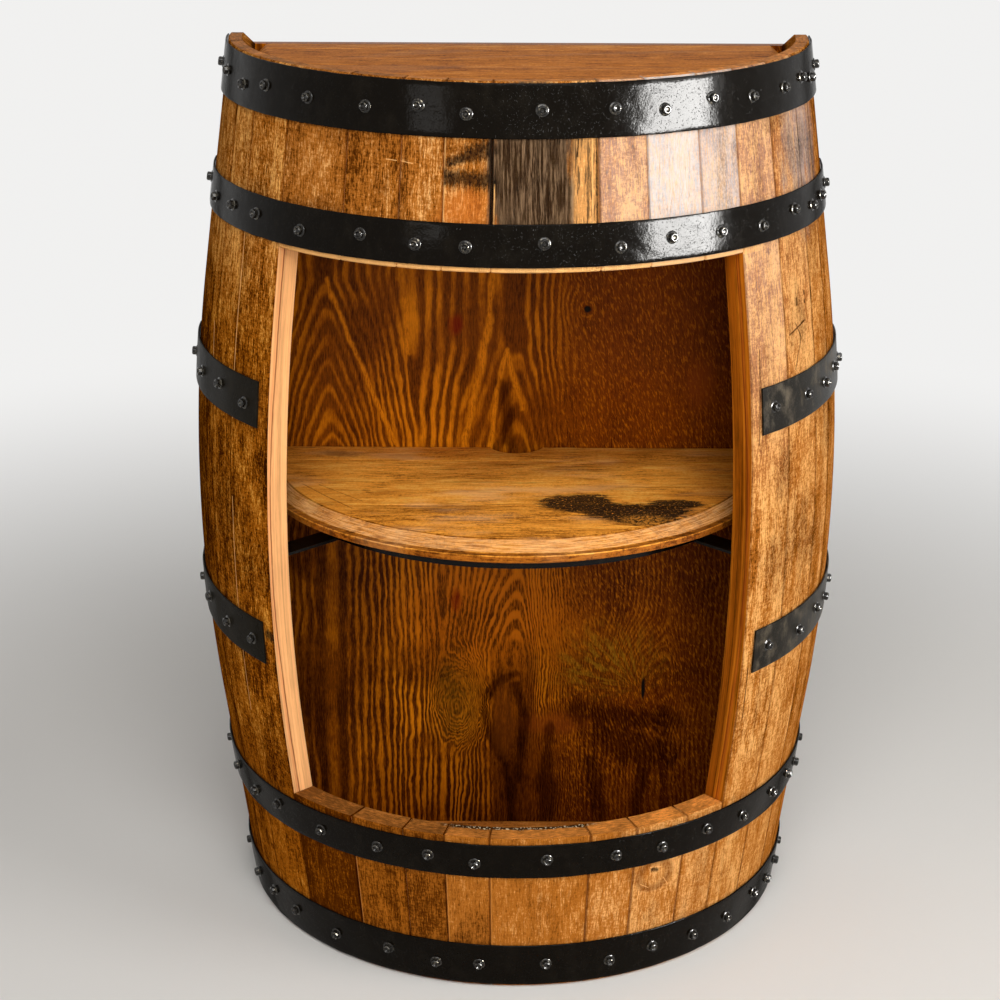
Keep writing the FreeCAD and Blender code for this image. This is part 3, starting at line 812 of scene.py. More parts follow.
def mark_distances(shader, angle, z):
    """Distance to the nearest mark of each kind, where 1 is its outline."""
    flat = shader.join(angle, 0.0, z)
    unrolled = shader.join(shader.times(angle, MM_PER_DEGREE), 0.0, z)
    nearest = {}
    for kind, marks in STAVE_MARKS.items():
        nearest[kind] = shader.smallest(*[shader.far(flat, (at, 0, height), (half, 1, tall))
                                          for at, height, half, tall in marks])
    for kind, strokes in STAVE_STROKES.items():
        nearest[kind] = nearest_stroke(shader, unrolled, [
            (at * MM_PER_DEGREE, height, to * MM_PER_DEGREE, to_height, half_width)
            for at, height, to, to_height, half_width in strokes])
    return nearest


def stave_colour(shader, figure, tone, angle, z):
    """Oak of a stave: stronger figure above the lowest hoops, most of all on the left; paler higher
    up and on the upper left, and paler on the right side as painted light from the window.
    """
    finish = sizes("finishes")
    left = shader.band(angle, -40, -48)
    contrast = shader.band(z, 190, 230, 0.66, 1.08)
    contrast = shader.plus(contrast, shader.times(left, 0.35))
    paler_and_lit = shader.plus(shader.band(z, 480, 760, 0.0, 0.010),
                       shader.times(left, shader.band(z, 620, 720, -0.010, 0.032)))
    # Painted light: the right side, which faces the window, is drawn paler below the top band.
    right = shader.times(shader.band(angle, 42, 47), shader.band(z, 780, 720, 0.0, 0.016))
    paler_and_lit = shader.plus(paler_and_lit, right)
    shade = figure.shade(shader, finish.oak_dark, finish.oak_mid, finish.oak_light,
                         shader.plus(tone[0], paler_and_lit), contrast)
    redder = shader.times(tone[1], shader.band(z, 620, 760, 1.0, 0.45))
    return shader.darken(redder, shade, (0.92, 0.78, 0.14))


def soiled(shader, shade, marks, grain, ragged, smear, figure):
    """Round knot and patches of dirt on the skin."""
    ring = shader.times(shader.band(marks["knot"], 0.45, 0.9), shader.band(marks["knot"], 1.3, 1.0))
    shade = shader.darken(shader.times(ring, 0.65), shade, (0.34, 0.24, 0.16))
    grime = shader.noise(grain, (19, 19, 7), 5.0, 0.7, 0.0, (3, 5, 7))
    patchy = shader.times(shader.band(grime, 0.50, 0.66), shader.band(smear, 0.34, 0.62))
    dirt = shader.inside(marks["dirt"], ragged, 3.4, 0.75)
    dirt = shader.times(dirt, shader.band(smear, 0.30, 0.60, 0.25, 1.0))
    dirt = shader.larger(dirt, shader.times(patchy, 0.75))
    dirt = shader.times(dirt, shader.band(figure.fleck, 0.62, 0.40, 0.45, 1.0))
    return shader.darken(shader.times(dirt, 0.86), shade, (0.26, 0.20, 0.15))


def weathered(shader, shade, grey, marks, grain, smear, angle, z):
    """Grey, lined old skin of one stave, with tarry cores and a pale strip at its right."""
    finish = sizes("finishes")
    lined = shader.noise(grain, (460, 460, 30), 4.0, 0.75)
    old = shader.ramp(lined, [(0.38, scaled(finish.grey_oak, 0.15)),
                              (0.47, scaled(finish.grey_oak, 0.7)), (0.55, finish.grey_oak),
                              (0.66, scaled(finish.grey_oak, 2.0))])
    core = shader.inside(marks["core"], smear, 1.8, 0.5)
    core = shader.times(core, shader.band(lined, 0.56, 0.46))
    old = shader.mix(shader.times(core, 0.85), old, finish.char)
    shade = shader.mix(shader.times(grey, 0.96), shade, old)
    strip = shader.times(shader.band(angle, 9.0, 10.0), shader.band(angle, 14.1, 13.9))
    strip = shader.times(strip, shader.band(z, 760, 770))
    shade = shader.mix(shader.times(strip, 0.45), shade, finish.oak_light)
    strip = shader.times(strip, shader.band(lined, 0.50, 0.42))
    return shader.mix(shader.times(strip, 0.8), shade, scaled(finish.grey_oak, 0.4))


def stave_skin(name):
    """Varnished outside of the staves: figure, smudges, char, grey weathered patches, and painted
    glare and sheen on the right.
    """
    finish = sizes("finishes")
    shader = Shader(name)
    grain, spot = shader.attribute("grain"), shader.attribute("spot")
    tone = shader.split(shader.attribute("tone"))
    figure = OakFigure(shader, grain, 0.14)
    angle, depth, z = shader.split(spot)
    shade = stave_colour(shader, figure, tone, angle, z)
    marks = mark_distances(shader, angle, z)
    smear = shader.noise(grain, (120, 120, 14), 5.0, 0.72)
    ragged = shader.noise(grain, (60, 60, 22), 5.0, 0.75)
    licked = shader.noise(grain, (300, 300, 90), 5.0, 0.85)

    # Painted glare: the palest staves are mixed towards a pale veil from the shelf's height up to
    # the top band, where the window's highlight falls.
    painted_glare = shader.times(shader.band(tone[0], 0.015, 0.05, 0.0, 0.72),
                          shader.band(z, 450, 760, 0.0, 1.0))
    painted_glare = shader.times(painted_glare, shader.band(figure.fibre, 0.64, 0.42, 0.45, 1.0))
    shade = shader.mix(painted_glare, shade, finish.painted_glare)
    orange = shader.inside(marks["orange"], ragged, 2.5, 0.7)
    shade = shader.mix(shader.times(orange, 0.45), shade, tint(206, 112, 44))
    # Painted sheen: a greyish haze at the far right of the top band, in a dimmed copy of the
    # painted glare colour.
    haze = shader.times(shader.inside(marks["haze"], ragged, 2.5, 0.6),
                        shader.band(smear, 0.34, 0.56, 0.35, 1.0))
    shade = shader.mix(shader.times(haze, 0.55), shade, scaled(finish.painted_glare, 0.6))
    shade = soiled(shader, shade, marks, grain, ragged, smear, figure)
    grey = shader.inside(marks["grey"], smear, 1.0, 0.16)
    shade = weathered(shader, shade, grey, marks, grain, smear, angle, z)

    seam = shader.times_plus(smear, 3.0, shader.plus(tone[2], -1.5))
    seam = shader.times(shader.band(seam, 2.6, 0.3, 0.0, 0.75),
                        shader.times_plus(painted_glare, -0.8, 1.0))
    shade = shader.darken(seam, shade, (0.34, 0.25, 0.18))
    split = shader.inside(marks["split"], licked, 1.4, 0.3)
    shade = shader.darken(shader.times(split, 0.85), shade, (0.16, 0.11, 0.08))
    scratch = shader.inside(marks["pale"], licked, 2.0, 0.4)
    shade = shader.mix(shader.times(scratch, 0.75), shade, finish.oak_light)
    glued = shader.inside(marks["seam"], licked, 2.0, 0.4)
    shade = shader.mix(shader.times(glued, 0.7), shade, tint(214, 138, 62))
    off_joint = shader.band(shader.absolute(shader.plus(angle, 21.6)), 8.7, 8.75)
    halo = shader.times(shader.inside(marks["char"], ragged, 3.5, 1.2), off_joint)
    shade = shader.darken(shader.times(halo, 0.45), shade, (0.36, 0.26, 0.18))
    char = shader.times(shader.inside(marks["char"], licked, 4.5, 0.6), off_joint)
    char = shader.times(char, shader.band(figure.fleck, 0.36, 0.54, 0.97, 0.78))
    shade = shader.mix(char, shade, finish.char)

    cut = OPENING_TOP * 1000
    fresh = shader.times(shader.band(z, cut + 5.5, cut + 3.5), shader.band(z, cut - 2, cut - 1))
    front = shader.band(shader.absolute(angle), 50, 40)
    shade = shader.mix(shader.times(fresh, front, 0.8), shade, finish.oak_light)
    inside = shader.band(depth, -20, -25)
    shade = shader.mix(inside, shade, scaled(finish.oak_dark, 0.45))
    height = shader.times_plus(split, -1.2, figure.height(shader))
    dull = shader.larger(grey, char)
    shader.look(Base_Color=shade, Roughness=shader.band(dull, 0, 1, 0.34, 0.50),
                Specular_IOR_Level=0.0, Normal=shader.bump(height, 0.0011, 0.9))
    return shader.material


def sawn_side(name, shade_name, dark_band, line_depth, contrast):
    """Sawn long side of a stave, with the stained line that runs along it."""
    finish = sizes("finishes")
    shader = Shader(name)
    grain, spot = shader.attribute("grain"), shader.attribute("spot")
    base = getattr(finish, shade_name)
    _, depth, z = shader.split(spot)
    _, inwards, along = shader.split(grain)
    turned = shader.join(inwards, 0.0, along)
    lines = shader.noise(turned, (240, 1, 2.6), 4.0, 0.65)
    fibre = shader.noise(turned, (900, 1, 40), 3.0, 0.75)
    cloud = shader.noise(turned, (40, 1, 12), 4.0, 0.65)
    value = shader.times(lines, 0.62)
    for field, share in ((fibre, 0.24), (cloud, 0.14)):
        value = shader.times_plus(field, share, value)
    shade = shader.ramp(value, [(0.50 - 0.9 * contrast, scaled(base, 0.36)),
                                (0.50 - 0.3 * contrast, scaled(base, 0.74)),
                                (0.50 + 0.1 * contrast, scaled(base, 0.95)),
                                (0.50 + 0.8 * contrast, scaled(base, 1.2))])
    bow = shader.absolute(shader.plus(z, -HEIGHT * 500))
    wander = shader.noise(shader.join(0.0, 0.0, z), (1, 1, 0.011), 4.0, 0.6)
    at = shader.times_plus(wander, 3.0, shader.plus(depth, -line_depth - 1.5))
    at = shader.plus(at, shader.band(bow, 200, 40, 0.0, -3.5))
    line = shader.band(shader.absolute(at), 1.3, 0.2)
    beside = shader.band(shader.absolute(shader.plus(at, -2.2)), 1.6, 0.3)
    broken = shader.band(shader.noise(turned, (60, 60, 14), 3.0, 0.6), 0.34, 0.50, 0.45, 1.0)
    shade = shader.mix(shader.times(line, broken, 0.85), shade, finish.cut_line)
    shade = shader.mix(shader.times(beside, 0.30), shade, scaled(finish.cut_line, 3.0))
    if dark_band:
        low, high = dark_band
        deep = shader.times(shader.band(at, low - 2.5, low), shader.band(at, high + 2.5, high))
        shade = shader.darken(shader.times(deep, 0.7), shade, (0.50, 0.40, 0.34))
    kerf = shader.noise(turned, (50, 50, 900), 2.0, 0.5)
    height = shader.times_plus(kerf, 0.35, fibre)
    rim = shader.band(depth, -1.6, -0.4)
    shade = shader.mix(shader.times(rim, 0.6), shade, scaled(base, 1.15))
    shader.look(Base_Color=shade, Roughness=0.5, Specular_IOR_Level=0.0,
                Normal=shader.bump(height, 0.0006, 0.5))
    return shader.material


def sawn_end(name):
    """Varnished end grain of the staves, with crumbs of char along its inner edge in front."""
    finish = sizes("finishes")
    shader = Shader(name)
    grain, spot = shader.attribute("grain"), shader.attribute("spot")
    tone = shader.split(shader.attribute("tone"))
    base = finish.end_grain
    flat = shader.join(shader.split(grain)[0], shader.split(grain)[1], 0.0)
    rings = shader.noise(flat, (120, 420, 1), 4.0, 0.7)
    cloud = shader.noise(flat, (40, 40, 1), 4.0, 0.7)
    dots = shader.noise(flat, (900, 900, 1), 3.0, 0.7)
    value = shader.times_plus(rings, 0.45, shader.times(cloud, 0.35))
    value = shader.times_plus(dots, 0.20, value)
    value = shader.times_plus(tone[0], 1.2, value)
    shade = shader.ramp(value, [(0.40, scaled(base, 0.30)), (0.48, scaled(base, 0.72)),
                                (0.54, base), (0.62, scaled(base, 1.7))])
    shade = shader.darken(shader.band(dots, 0.54, 0.66, 0.0, 0.6), shade, 0.35)
    seam = shader.times_plus(rings, 2.0, shader.plus(tone[2], -1.0))
    shade = shader.darken(shader.band(seam, 2.2, 0.4, 0.0, 0.7), shade, (0.30, 0.22, 0.16))
    angle, depth, z = shader.split(spot)
    front = shader.band(shader.absolute(shader.plus(angle, -1.0)), 17, 12)
    low = shader.times(shader.band(z, 200, 180), shader.band(z, 60, 80))
    inner = shader.times_plus(cloud, 8.0, shader.plus(depth, -4.0))
    inner = shader.band(inner, -18.5, -21.0)
    grit = shader.noise(flat, (330, 330, 1), 2.0, 0.5)
    crumbs = shader.times(front, low, inner)
    shade = shader.mix(shader.times(crumbs, 0.9), shade, finish.char)
    pale = shader.times(crumbs, shader.band(grit, 0.54, 0.60))
    shade = shader.mix(shader.times(pale, 0.85), shade, tint(206, 186, 150))
    height = shader.times_plus(dots, 0.6, rings)
    height = shader.times_plus(pale, 2.0, height)
    shader.look(Base_Color=shade, Roughness=0.45, Specular_IOR_Level=0.01,
                Normal=shader.bump(height, 0.0006, 0.6))
    return shader.material


def head_wood(name):
    """Varnished boards of the heads."""
    finish = sizes("finishes")
    shader = Shader(name)
    figure = OakFigure(shader, shader.attribute("grain"), 0.0, 0.32)
    tone = shader.split(shader.attribute("tone"))[0]
    shade = figure.shade(shader, finish.head_dark, finish.head_mid, finish.head_light, tone)
    shader.look(Base_Color=shade, Roughness=0.46, Specular_IOR_Level=0.008,
                Normal=shader.bump(figure.height(shader), 0.0005, 0.5))
    return shader.material


# Burn stain on the shelf: centre and half sizes of its lobes, in mm right of the axis and
# behind the sawn side, and the pale bite out of its back edge.
STAIN_LOBES = [(64, -171, 42, 25), (96, -190, 36, 26), (120, -206, 36, 26), (142, -190, 26, 20),
               (156, -172, 28, 11)]
STAIN_BITE = (112, -154, 22, 19)
SHELF_SCORES = [(-212, -119, -185, -156, 0.9), (-185, -156, -159, -188, 0.8),
                (-196, -120, -150, -168, 0.6), (-150, -136, -146, -137, 2.2),
                (-147, -142, -142, -144, 1.6), (-100, -70, -60, -74, 0.6),
                (96, -228, 104, -230, 1.6), (-30, -226, 4, -229, 0.8), (60, -60, 96, -66, 0.6)]


def shelf_wood(name):
    """Rubbed ochre boards of the shelf, with old scribe marks, a burn stain and painted shade at
    the ends and back.
    """
    finish = sizes("finishes")
    shader = Shader(name)
    grain, spot = shader.attribute("grain"), shader.attribute("spot")
    figure = OakFigure(shader, grain, 0.0, 0.36)
    tone = shader.split(shader.attribute("tone"))[0]
    shade = figure.shade(shader, finish.shelf_dark, finish.shelf_mid, finish.shelf_light, tone)
    x, y, depth = shader.split(spot)
    top = shader.join(x, y, 0.0)
    ragged = shader.noise(top, (0.05, 0.05, 1), 5.0, 0.75)
    smear = shader.noise(top, (0.010, 0.06, 1), 5.0, 0.7)
    rubbed = shader.noise(top, (0.006, 0.018, 1), 3.0, 0.6, 0.0, (3, 2, 0))
    shade = shader.darken(shader.band(smear, 0.48, 0.66, 0.0, 0.65), shade, (0.5, 0.40, 0.28))
    shade = shader.mix(shader.band(rubbed, 0.52, 0.68, 0.0, 0.40), shade, tint(240, 186, 128))
    # Painted shade: darker towards both ends and towards the back panel, where the barrel's walls
    # and top shade the shelf.
    deep = shader.larger(shader.band(x, -120, -215, 0.0, 0.5), shader.band(y, -75, -5, 0.0, 0.55))
    deep = shader.larger(deep, shader.band(x, 120, 215, 0.0, 0.8))
    shade = shader.darken(deep, shade, (0.58, 0.48, 0.36))
    scored = shader.smallest(*[stroke(shader, top, (*ends[:2], 0), (*ends[2:], 0), half_width)
                               for *ends, half_width in SHELF_SCORES])
    scored = shader.inside(scored, ragged, 2.0, 0.5)
    scored = shader.times(scored, shader.band(figure.fleck, 0.40, 0.56, 0.25, 0.75))
    shade = shader.darken(scored, shade, (0.22, 0.16, 0.11))

    *lobes, bite = [shader.far(top, (lobe_x, lobe_y, 0), (half_x, half_y, 1))
                    for lobe_x, lobe_y, half_x, half_y in STAIN_LOBES + [STAIN_BITE]]
    distance = shader.smallest(*lobes)
    distance = shader.larger(distance, shader.math("SUBTRACT", 2.0, bite))
    frayed = shader.noise(top, (0.045, 0.24, 1), 5.0, 0.8)
    halo = shader.inside(distance, frayed, 1.9, 0.35)
    burn = shader.inside(distance, frayed, 1.8, 0.14)
    shade = shader.darken(shader.times(halo, 0.55), shade, (0.45, 0.34, 0.24))
    specks = shader.band(shader.noise(top, (0.36, 0.5, 1), 2.0, 0.7), 0.585, 0.66)
    thin = shader.band(shader.far(top, (122, -218, 0), (28, 18, 1)), 1.1, 0.4)
    thin = shader.times(thin, shader.band(figure.fleck, 0.44, 0.56, 0.0, 0.6))
    specks = shader.larger(shader.times(specks, 0.9), thin)
    burnt = shader.mix(specks, scaled(finish.char, 1.2), scaled(finish.shelf_mid, 0.85))
    shade = shader.mix(shader.times(burn, 0.95), shade, burnt)
    smudge = shader.inside(shader.far(top, (-182, -25, 0), (22, 9, 1)), ragged, 2.6, 0.5)
    shade = shader.darken(shader.times(smudge, 0.7), shade, (0.3, 0.24, 0.18))

    bevel = shader.times(shader.band(depth, 0.9, 1.6), shader.band(depth, 10.6, 10.0))
    around = shader.math("ARCTAN2", x, shader.math("SUBTRACT", -24.0, y))
    turned = shader.join(shader.times(around, 9.0), shader.times(depth, 1.1), 0.0)
    lines = shader.band(shader.noise(turned, (1, 1, 1), 4.0, 0.75, 0.3), 0.36, 0.64)
    rim = shader.mix(lines, tint(160, 94, 38), tint(240, 186, 126))
    shade = shader.mix(shader.times(bevel, 0.6), shade, rim)
    creases = shader.times(shader.band(depth, 0.15, 0.5), shader.band(depth, 1.3, 0.8))
    creases = shader.larger(creases, shader.times(shader.band(depth, 10.2, 10.8),
                                                  shader.band(depth, 11.3, 11.0, 0.0, 1.0)))
    worn = shader.band(ragged, 0.36, 0.52, 0.5, 1.0)
    shade = shader.darken(shader.times(creases, worn, 0.8), shade, (0.26, 0.17, 0.10))
    edge = shader.band(depth, 11.6, 12.6)
    shade = shader.darken(shader.times(edge, 0.9), shade, (0.42, 0.30, 0.20))
    shader.look(Base_Color=shade, Roughness=shader.band(burn, 0, 1, 0.42, 0.28),
                Specular_IOR_Level=shader.gloss(0.02, 0.05),
                Normal=shader.bump(figure.height(shader), 0.0006, 0.6))
    return shader.material


def enamel(name, base, roughness, dents, dust_and_sheen, gloss, edge_on):
    """Paint on rolled steel: dents, orange peel, scattered grit and a greyish film, which is a
    little dust on most straps and on the right straps also painted sheen.
    """
    shader = Shader(name)
    grain = shader.attribute("grain")
    wave = shader.noise(grain, (24, 160, 34), 2.0, 0.5)
    hammer = shader.noise(grain, (150, 150, 150), 3.0, 0.6)
    peel = shader.noise(grain, (520, 520, 520), 2.0, 0.55)
    grit = shader.band(shader.noise(grain, (760, 760, 760), 1.0, 0.5), 0.66, 0.76)
    height = shader.times_plus(hammer, 0.22 * dents, shader.times(wave, 1.1))
    height = shader.times_plus(peel, 0.10 * dents, height)
    height = shader.times_plus(grit, 0.26 * dents, height)
    film = shader.noise(grain, (60, 60, 40), 5.0, 0.7)
    soil_and_sheen = shader.times(shader.band(film, 0.45, 0.75), dust_and_sheen)
    shade = shader.mix(soil_and_sheen, base, tint(120, 108, 90))
    shader.look(Base_Color=shade, Roughness=shader.band(film, 0.3, 0.8, roughness, roughness * 1.5),
                Specular_IOR_Level=shader.gloss(gloss, edge_on),
                Normal=shader.bump(height, 0.0011, 0.55))
    return shader.material


def plain_paint(name, shade, roughness):
    """Black paint on small steel pieces."""
    shader = Shader(name)
    peel = shader.noise(shader.where(), (600, 600, 600), 2.0, 0.55)
    film = shader.noise(shader.where(), (90, 90, 90), 3.0, 0.6)
    dusty = shader.mix(shader.band(film, 0.5, 0.8, 0.0, 0.08), shade, tint(96, 88, 76))
    shader.look(Base_Color=dusty, Roughness=roughness, Specular_IOR_Level=0.12,
                Normal=shader.bump(peel, 0.0003, 0.35))
    return shader.material


def worn_paint(name):
    """Thin black paint on plated screws, rubbed bright in places."""
    shader = Shader(name)
    grain = shader.attribute("grain")
    film = shader.noise(grain, (420, 420, 420), 3.0, 0.65)
    rubbed = shader.band(film, 0.54, 0.66)
    shader.look(Base_Color=shader.mix(rubbed, tint(17, 14, 10), tint(104, 98, 86)),
                Metallic=shader.band(rubbed, 0, 1, 0.1, 0.9), Roughness=0.2, Specular_IOR_Level=0.4,
                Normal=shader.bump(film, 0.0003, 0.4))
    return shader.material


# Broad marks drawn on the back panel: both ends in mm right of the axis and above the floor,
# and half width. The bright ones are hard grain, the dark ones soft grain and shadowy stain.
PANEL_BRIGHT = [
    (-10, 577, -20, 530, 2.6), (-20, 530, -28, 470, 2.8), (-10, 577, 7, 514, 2.8),
    (-24, 660, -29, 600, 3.4), (-29, 600, -45, 520, 4.2), (-45, 520, -53, 470, 3.8),
    (-113, 630, -113, 575, 4.2), (-195, 652, -172, 590, 2.2), (-172, 590, -126, 476, 2.2),
]
PANEL_DARK = [
    (2, 214, -22, 202, 4.0), (-22, 202, -34, 180, 4.5), (-34, 180, -30, 156, 4.5),
    (-30, 156, -16, 120, 5.0), (-16, 120, -5, 80, 5.5), (-5, 80, -2, 30, 6.5),
    (0, 200, 11, 160, 5.0), (11, 160, 7, 120, 6.0), (7, 120, 1, 88, 6.0), (38, 146, 34, 90, 7.0),
    (34, 90, 38, 40, 9.0), (70, 168, 168, 160, 14.0), (90, 140, 150, 120, 20.0),
    (-14, 540, -8, 480, 6.5), (84, 110, 96, 40, 9.0), (140, 100, 136, 40, 7.0),
]
SWIRL, FAN, SLIT, PIN_KNOT = (-63, 0, 174), (134, 0, 205), (139, 0, 197), (72, 0, 621)
# Folds that the panel's grain bends round: where, how far it reaches, how much flatter its left
# side is, whether its slope is gentle, and the apex, foot and fall of each arch on it.
FOLDS = [(-196, 120, 1.0, True, [(650, 470, 54)]),
         (2, 75, 1.8, False, [(577, 470, 24), (330, 240, 20)]),
         (330, 60, 1.0, False, [])]


def panel_rings(shader, here, x, z, tremble):
    """Growth rings as a rising number, and how far the swirl pulls them round itself."""
    field = None
    gentle = shader.band(z, 380, 480, 0.5, 0.8)
    for fold, reach, squeeze, is_gentle, rises in FOLDS:
        off = shader.plus(x, -fold)
        off = shader.larger(off, shader.times(off, -1.0 / squeeze))
        off = shader.times(off, gentle) if is_gentle else off
        arch = shader.math("SQRT", shader.times_plus(off, off, 60.0))
        near = shader.band(shader.absolute(off), reach, 0)
        for apex, foot, fall in rises:
            climb = shader.band(z, foot, apex, -fall, 0.0, kind="LINEAR")
            arch = shader.plus(arch, shader.times(climb, near))
        field = arch if field is None else shader.math("SMOOTH_MIN", field, arch, 14.0)
    swirl = shader.far(here, SWIRL, (27, 1, 46))
    swirl = shader.times_plus(tremble, 0.8, shader.plus(swirl, -0.4))
    swirl = shader.times_plus(shader.band(z, SWIRL[2], 250, 0.0, 0.35), -1.0, swirl)
    pull = shader.band(swirl, 1.5, 0.35)
    eye = shader.times_plus(swirl, -34.0, 70.0)
    field = shader.plus(shader.times(field, shader.rest(pull)), shader.times(eye, pull))
    for centre, size, reach, bulge in ((FAN, (46, 1, 60), 1.5, 40.0),
                                       (PIN_KNOT, (26, 1, 30), 1.3, 20.0)):
        near = shader.band(shader.far(here, centre, size), reach, 0.0)
        field = shader.times_plus(near, bulge, field)
    return field, pull


def hard_grain(shader, here, x, z, field, pull, curly):
    """Bright hard edge of each ring, fainter where the veneer is curly or quiet."""
    count = shader.times(field, shader.band(z, 380, 480, 0.20, 0.125))
    ring = shader.math("FRACT", count)
    width = shader.noise(shader.join(shader.math("FLOOR", count), 0.0, shader.times(z, 0.006)),
                         (0.73, 1, 1), 2.0, 0.6)
    fuller = shader.times_plus(width, 1.1, shader.plus(ring, -0.55))
    crest = shader.times(shader.band(fuller, 0.26, 0.60), shader.band(ring, 1.0, 0.74))
    fade = shader.noise(here, (0.010, 0, 0.007), 3.0, 0.6, 0.0, (4, 0, 8))
    crest = shader.times(crest, shader.band(fade, 0.38, 0.58, 0.30, 1.0))
    flecked = shader.times(curly, shader.band(z, 330, 420, 0.55, 0.88))
    crest = shader.times(crest, shader.rest(flecked), shader.band(x, -170, -90, 0.62, 1.0))
    quiet = shader.times(shader.band(shader.absolute(shader.plus(x, 2)), 30, 18),
                         shader.band(z, 268, 244))
    return shader.times(crest, shader.times_plus(quiet, -0.8, 1.0),
                        shader.times_plus(pull, -0.45, 1.0))


def panel_sheen_and_warm_grain(shader, shade, here, pull, dash, value, face):
    """Greenish rays beside the slit and the swirl, drawn in as painted sheen, and warm hard grain
    over the swirl.
    """
    near = shader.band(shader.far(here, (92, 0, 232), (72, 1, 46)), 1.3, 0.2)
    away = shader.vector("SUBTRACT", here, (136, 0, 196))
    turn = shader.math("ARCTAN2", shader.split(away)[2], shader.split(away)[0])
    spread = shader.join(shader.times(turn, 9.0), 0.0,
                         shader.times(shader.vector("LENGTH", away), 0.035))
    rays = shader.band(shader.noise(spread, (1, 1, 1), 3.0, 0.6), 0.46, 0.60, 0.15, 1.0)
    glow = shader.larger(shader.times(near, rays), shader.times(pull, 0.35))
    glow = shader.times(glow, shader.band(dash, 0.38, 0.60, 0.25, 1.0), face)
    # Painted sheen: the greenish rays are mixed into the stain's colour.
    shade = shader.mix(shader.times(glow, 0.75), shade, tint(158, 112, 24))
    warm = shader.band(shader.far(here, (-30, 0, 285), (110, 1, 75)), 1.3, 0.3)
    warm = shader.times(warm, shader.band(value, 0.52, 0.70, 0.10, 0.9))
    return shader.mix(warm, shade, tint(206, 108, 16))


def panel_stains(shader, shade, here, x, z, tremble, cloud, face):
    """Patches, shadows and red spots on the front face, and painted shade low down and at the
    sides.
    """
    upper = shader.inside(shader.far(here, (190, 0, 541), (14, 1, 24)), cloud, 3.0, 0.6)
    lower = shader.inside(shader.far(here, (44, 0, 154), (30, 1, 12)), cloud, 2.0, 0.5)
    patch = shader.larger(upper, lower)
    shade = shader.mix(shader.times(patch, face, 0.5), shade, tint(142, 66, 16))
    shadow = shader.inside(nearest_stroke(shader, here, PANEL_DARK), tremble, 3.6, 0.6)
    shade = shader.darken(shader.times(shadow, face, 0.85), shade, (0.30, 0.24, 0.20))
    leaf = shader.inside(shader.far(here, (-12, 0, 156), (12, 1, 42)), tremble, 1.5, 0.3)
    shade = shader.mix(shader.times(leaf, face, 0.35), shade, tint(128, 64, 14))
    spots = shader.smallest(shader.far(here, (-63, 0, 604), (7, 1, 10)),
                            shader.far(here, (-64, 0, 299), (5, 1, 12)))
    spots = shader.inside(spots, tremble, 2.0, 0.5)
    shade = shader.mix(shader.times(spots, face, 0.6), shade, tint(120, 12, 4))
    # Painted shade: darker low down, at the left side, most of all below the shelf, and at the
    # right edge, where the staves and the bottom shade the panel.
    low = shader.band(z, 200, 30, 0.0, 0.70)
    aside = shader.times(shader.band(x, -110, -215), shader.band(z, 400, 330, 0.15, 0.5))
    right = shader.band(x, 150, 215, 0.0, 0.4)
    painted_shade = shader.times(shader.larger(low, shader.larger(aside, right)), face)
    return shader.darken(painted_shade, shade, (0.28, 0.22, 0.20))


def panel_holes(shader, shade, here, tremble, dash, face):
    """Pin knot with its faint ring, and the slit. Also returns where the holes are."""
    finish = sizes("finishes")
    pin = shader.far(here, PIN_KNOT, (3.6, 1, 3.6))
    ring = shader.times(shader.band(pin, 1.8, 2.1), shader.band(pin, 2.7, 2.4))
    ring = shader.times(ring, shader.band(dash, 0.42, 0.58), face)
    shade = shader.mix(shader.times(ring, 0.35), shade, finish.stain_light)
    knot = shader.inside(pin, tremble, 0.8, 0.3)
    slit = shader.inside(shader.far(here, SLIT, (2.2, 1, 13)), tremble, 1.2, 0.3)
    hole = shader.times(shader.larger(knot, slit), face)
    return shader.mix(hole, shade, finish.char), hole


def ply_edges(shader, shade, sunk, fibre):
    """Pale and dark layers where the sheet's edges show."""
    finish = sizes("finishes")
    ply = shader.math("FRACT", shader.times(sunk, 1 / 4.8))
    ply = shader.times(shader.band(ply, 0.44, 0.50), shader.band(ply, 1.0, 0.94))
    edge = shader.times(shader.band(sunk, 0.7, 1.1), shader.band(sunk, 11.7, 11.3))
    layers = shader.mix(ply, scaled(finish.stain_mid, 0.55), scaled(finish.stain_light, 0.62))
    layers = shader.darken(shader.band(fibre, 0.40, 0.62, 0.6, 0.0), layers, 0.5)
    return shader.mix(edge, shade, layers)


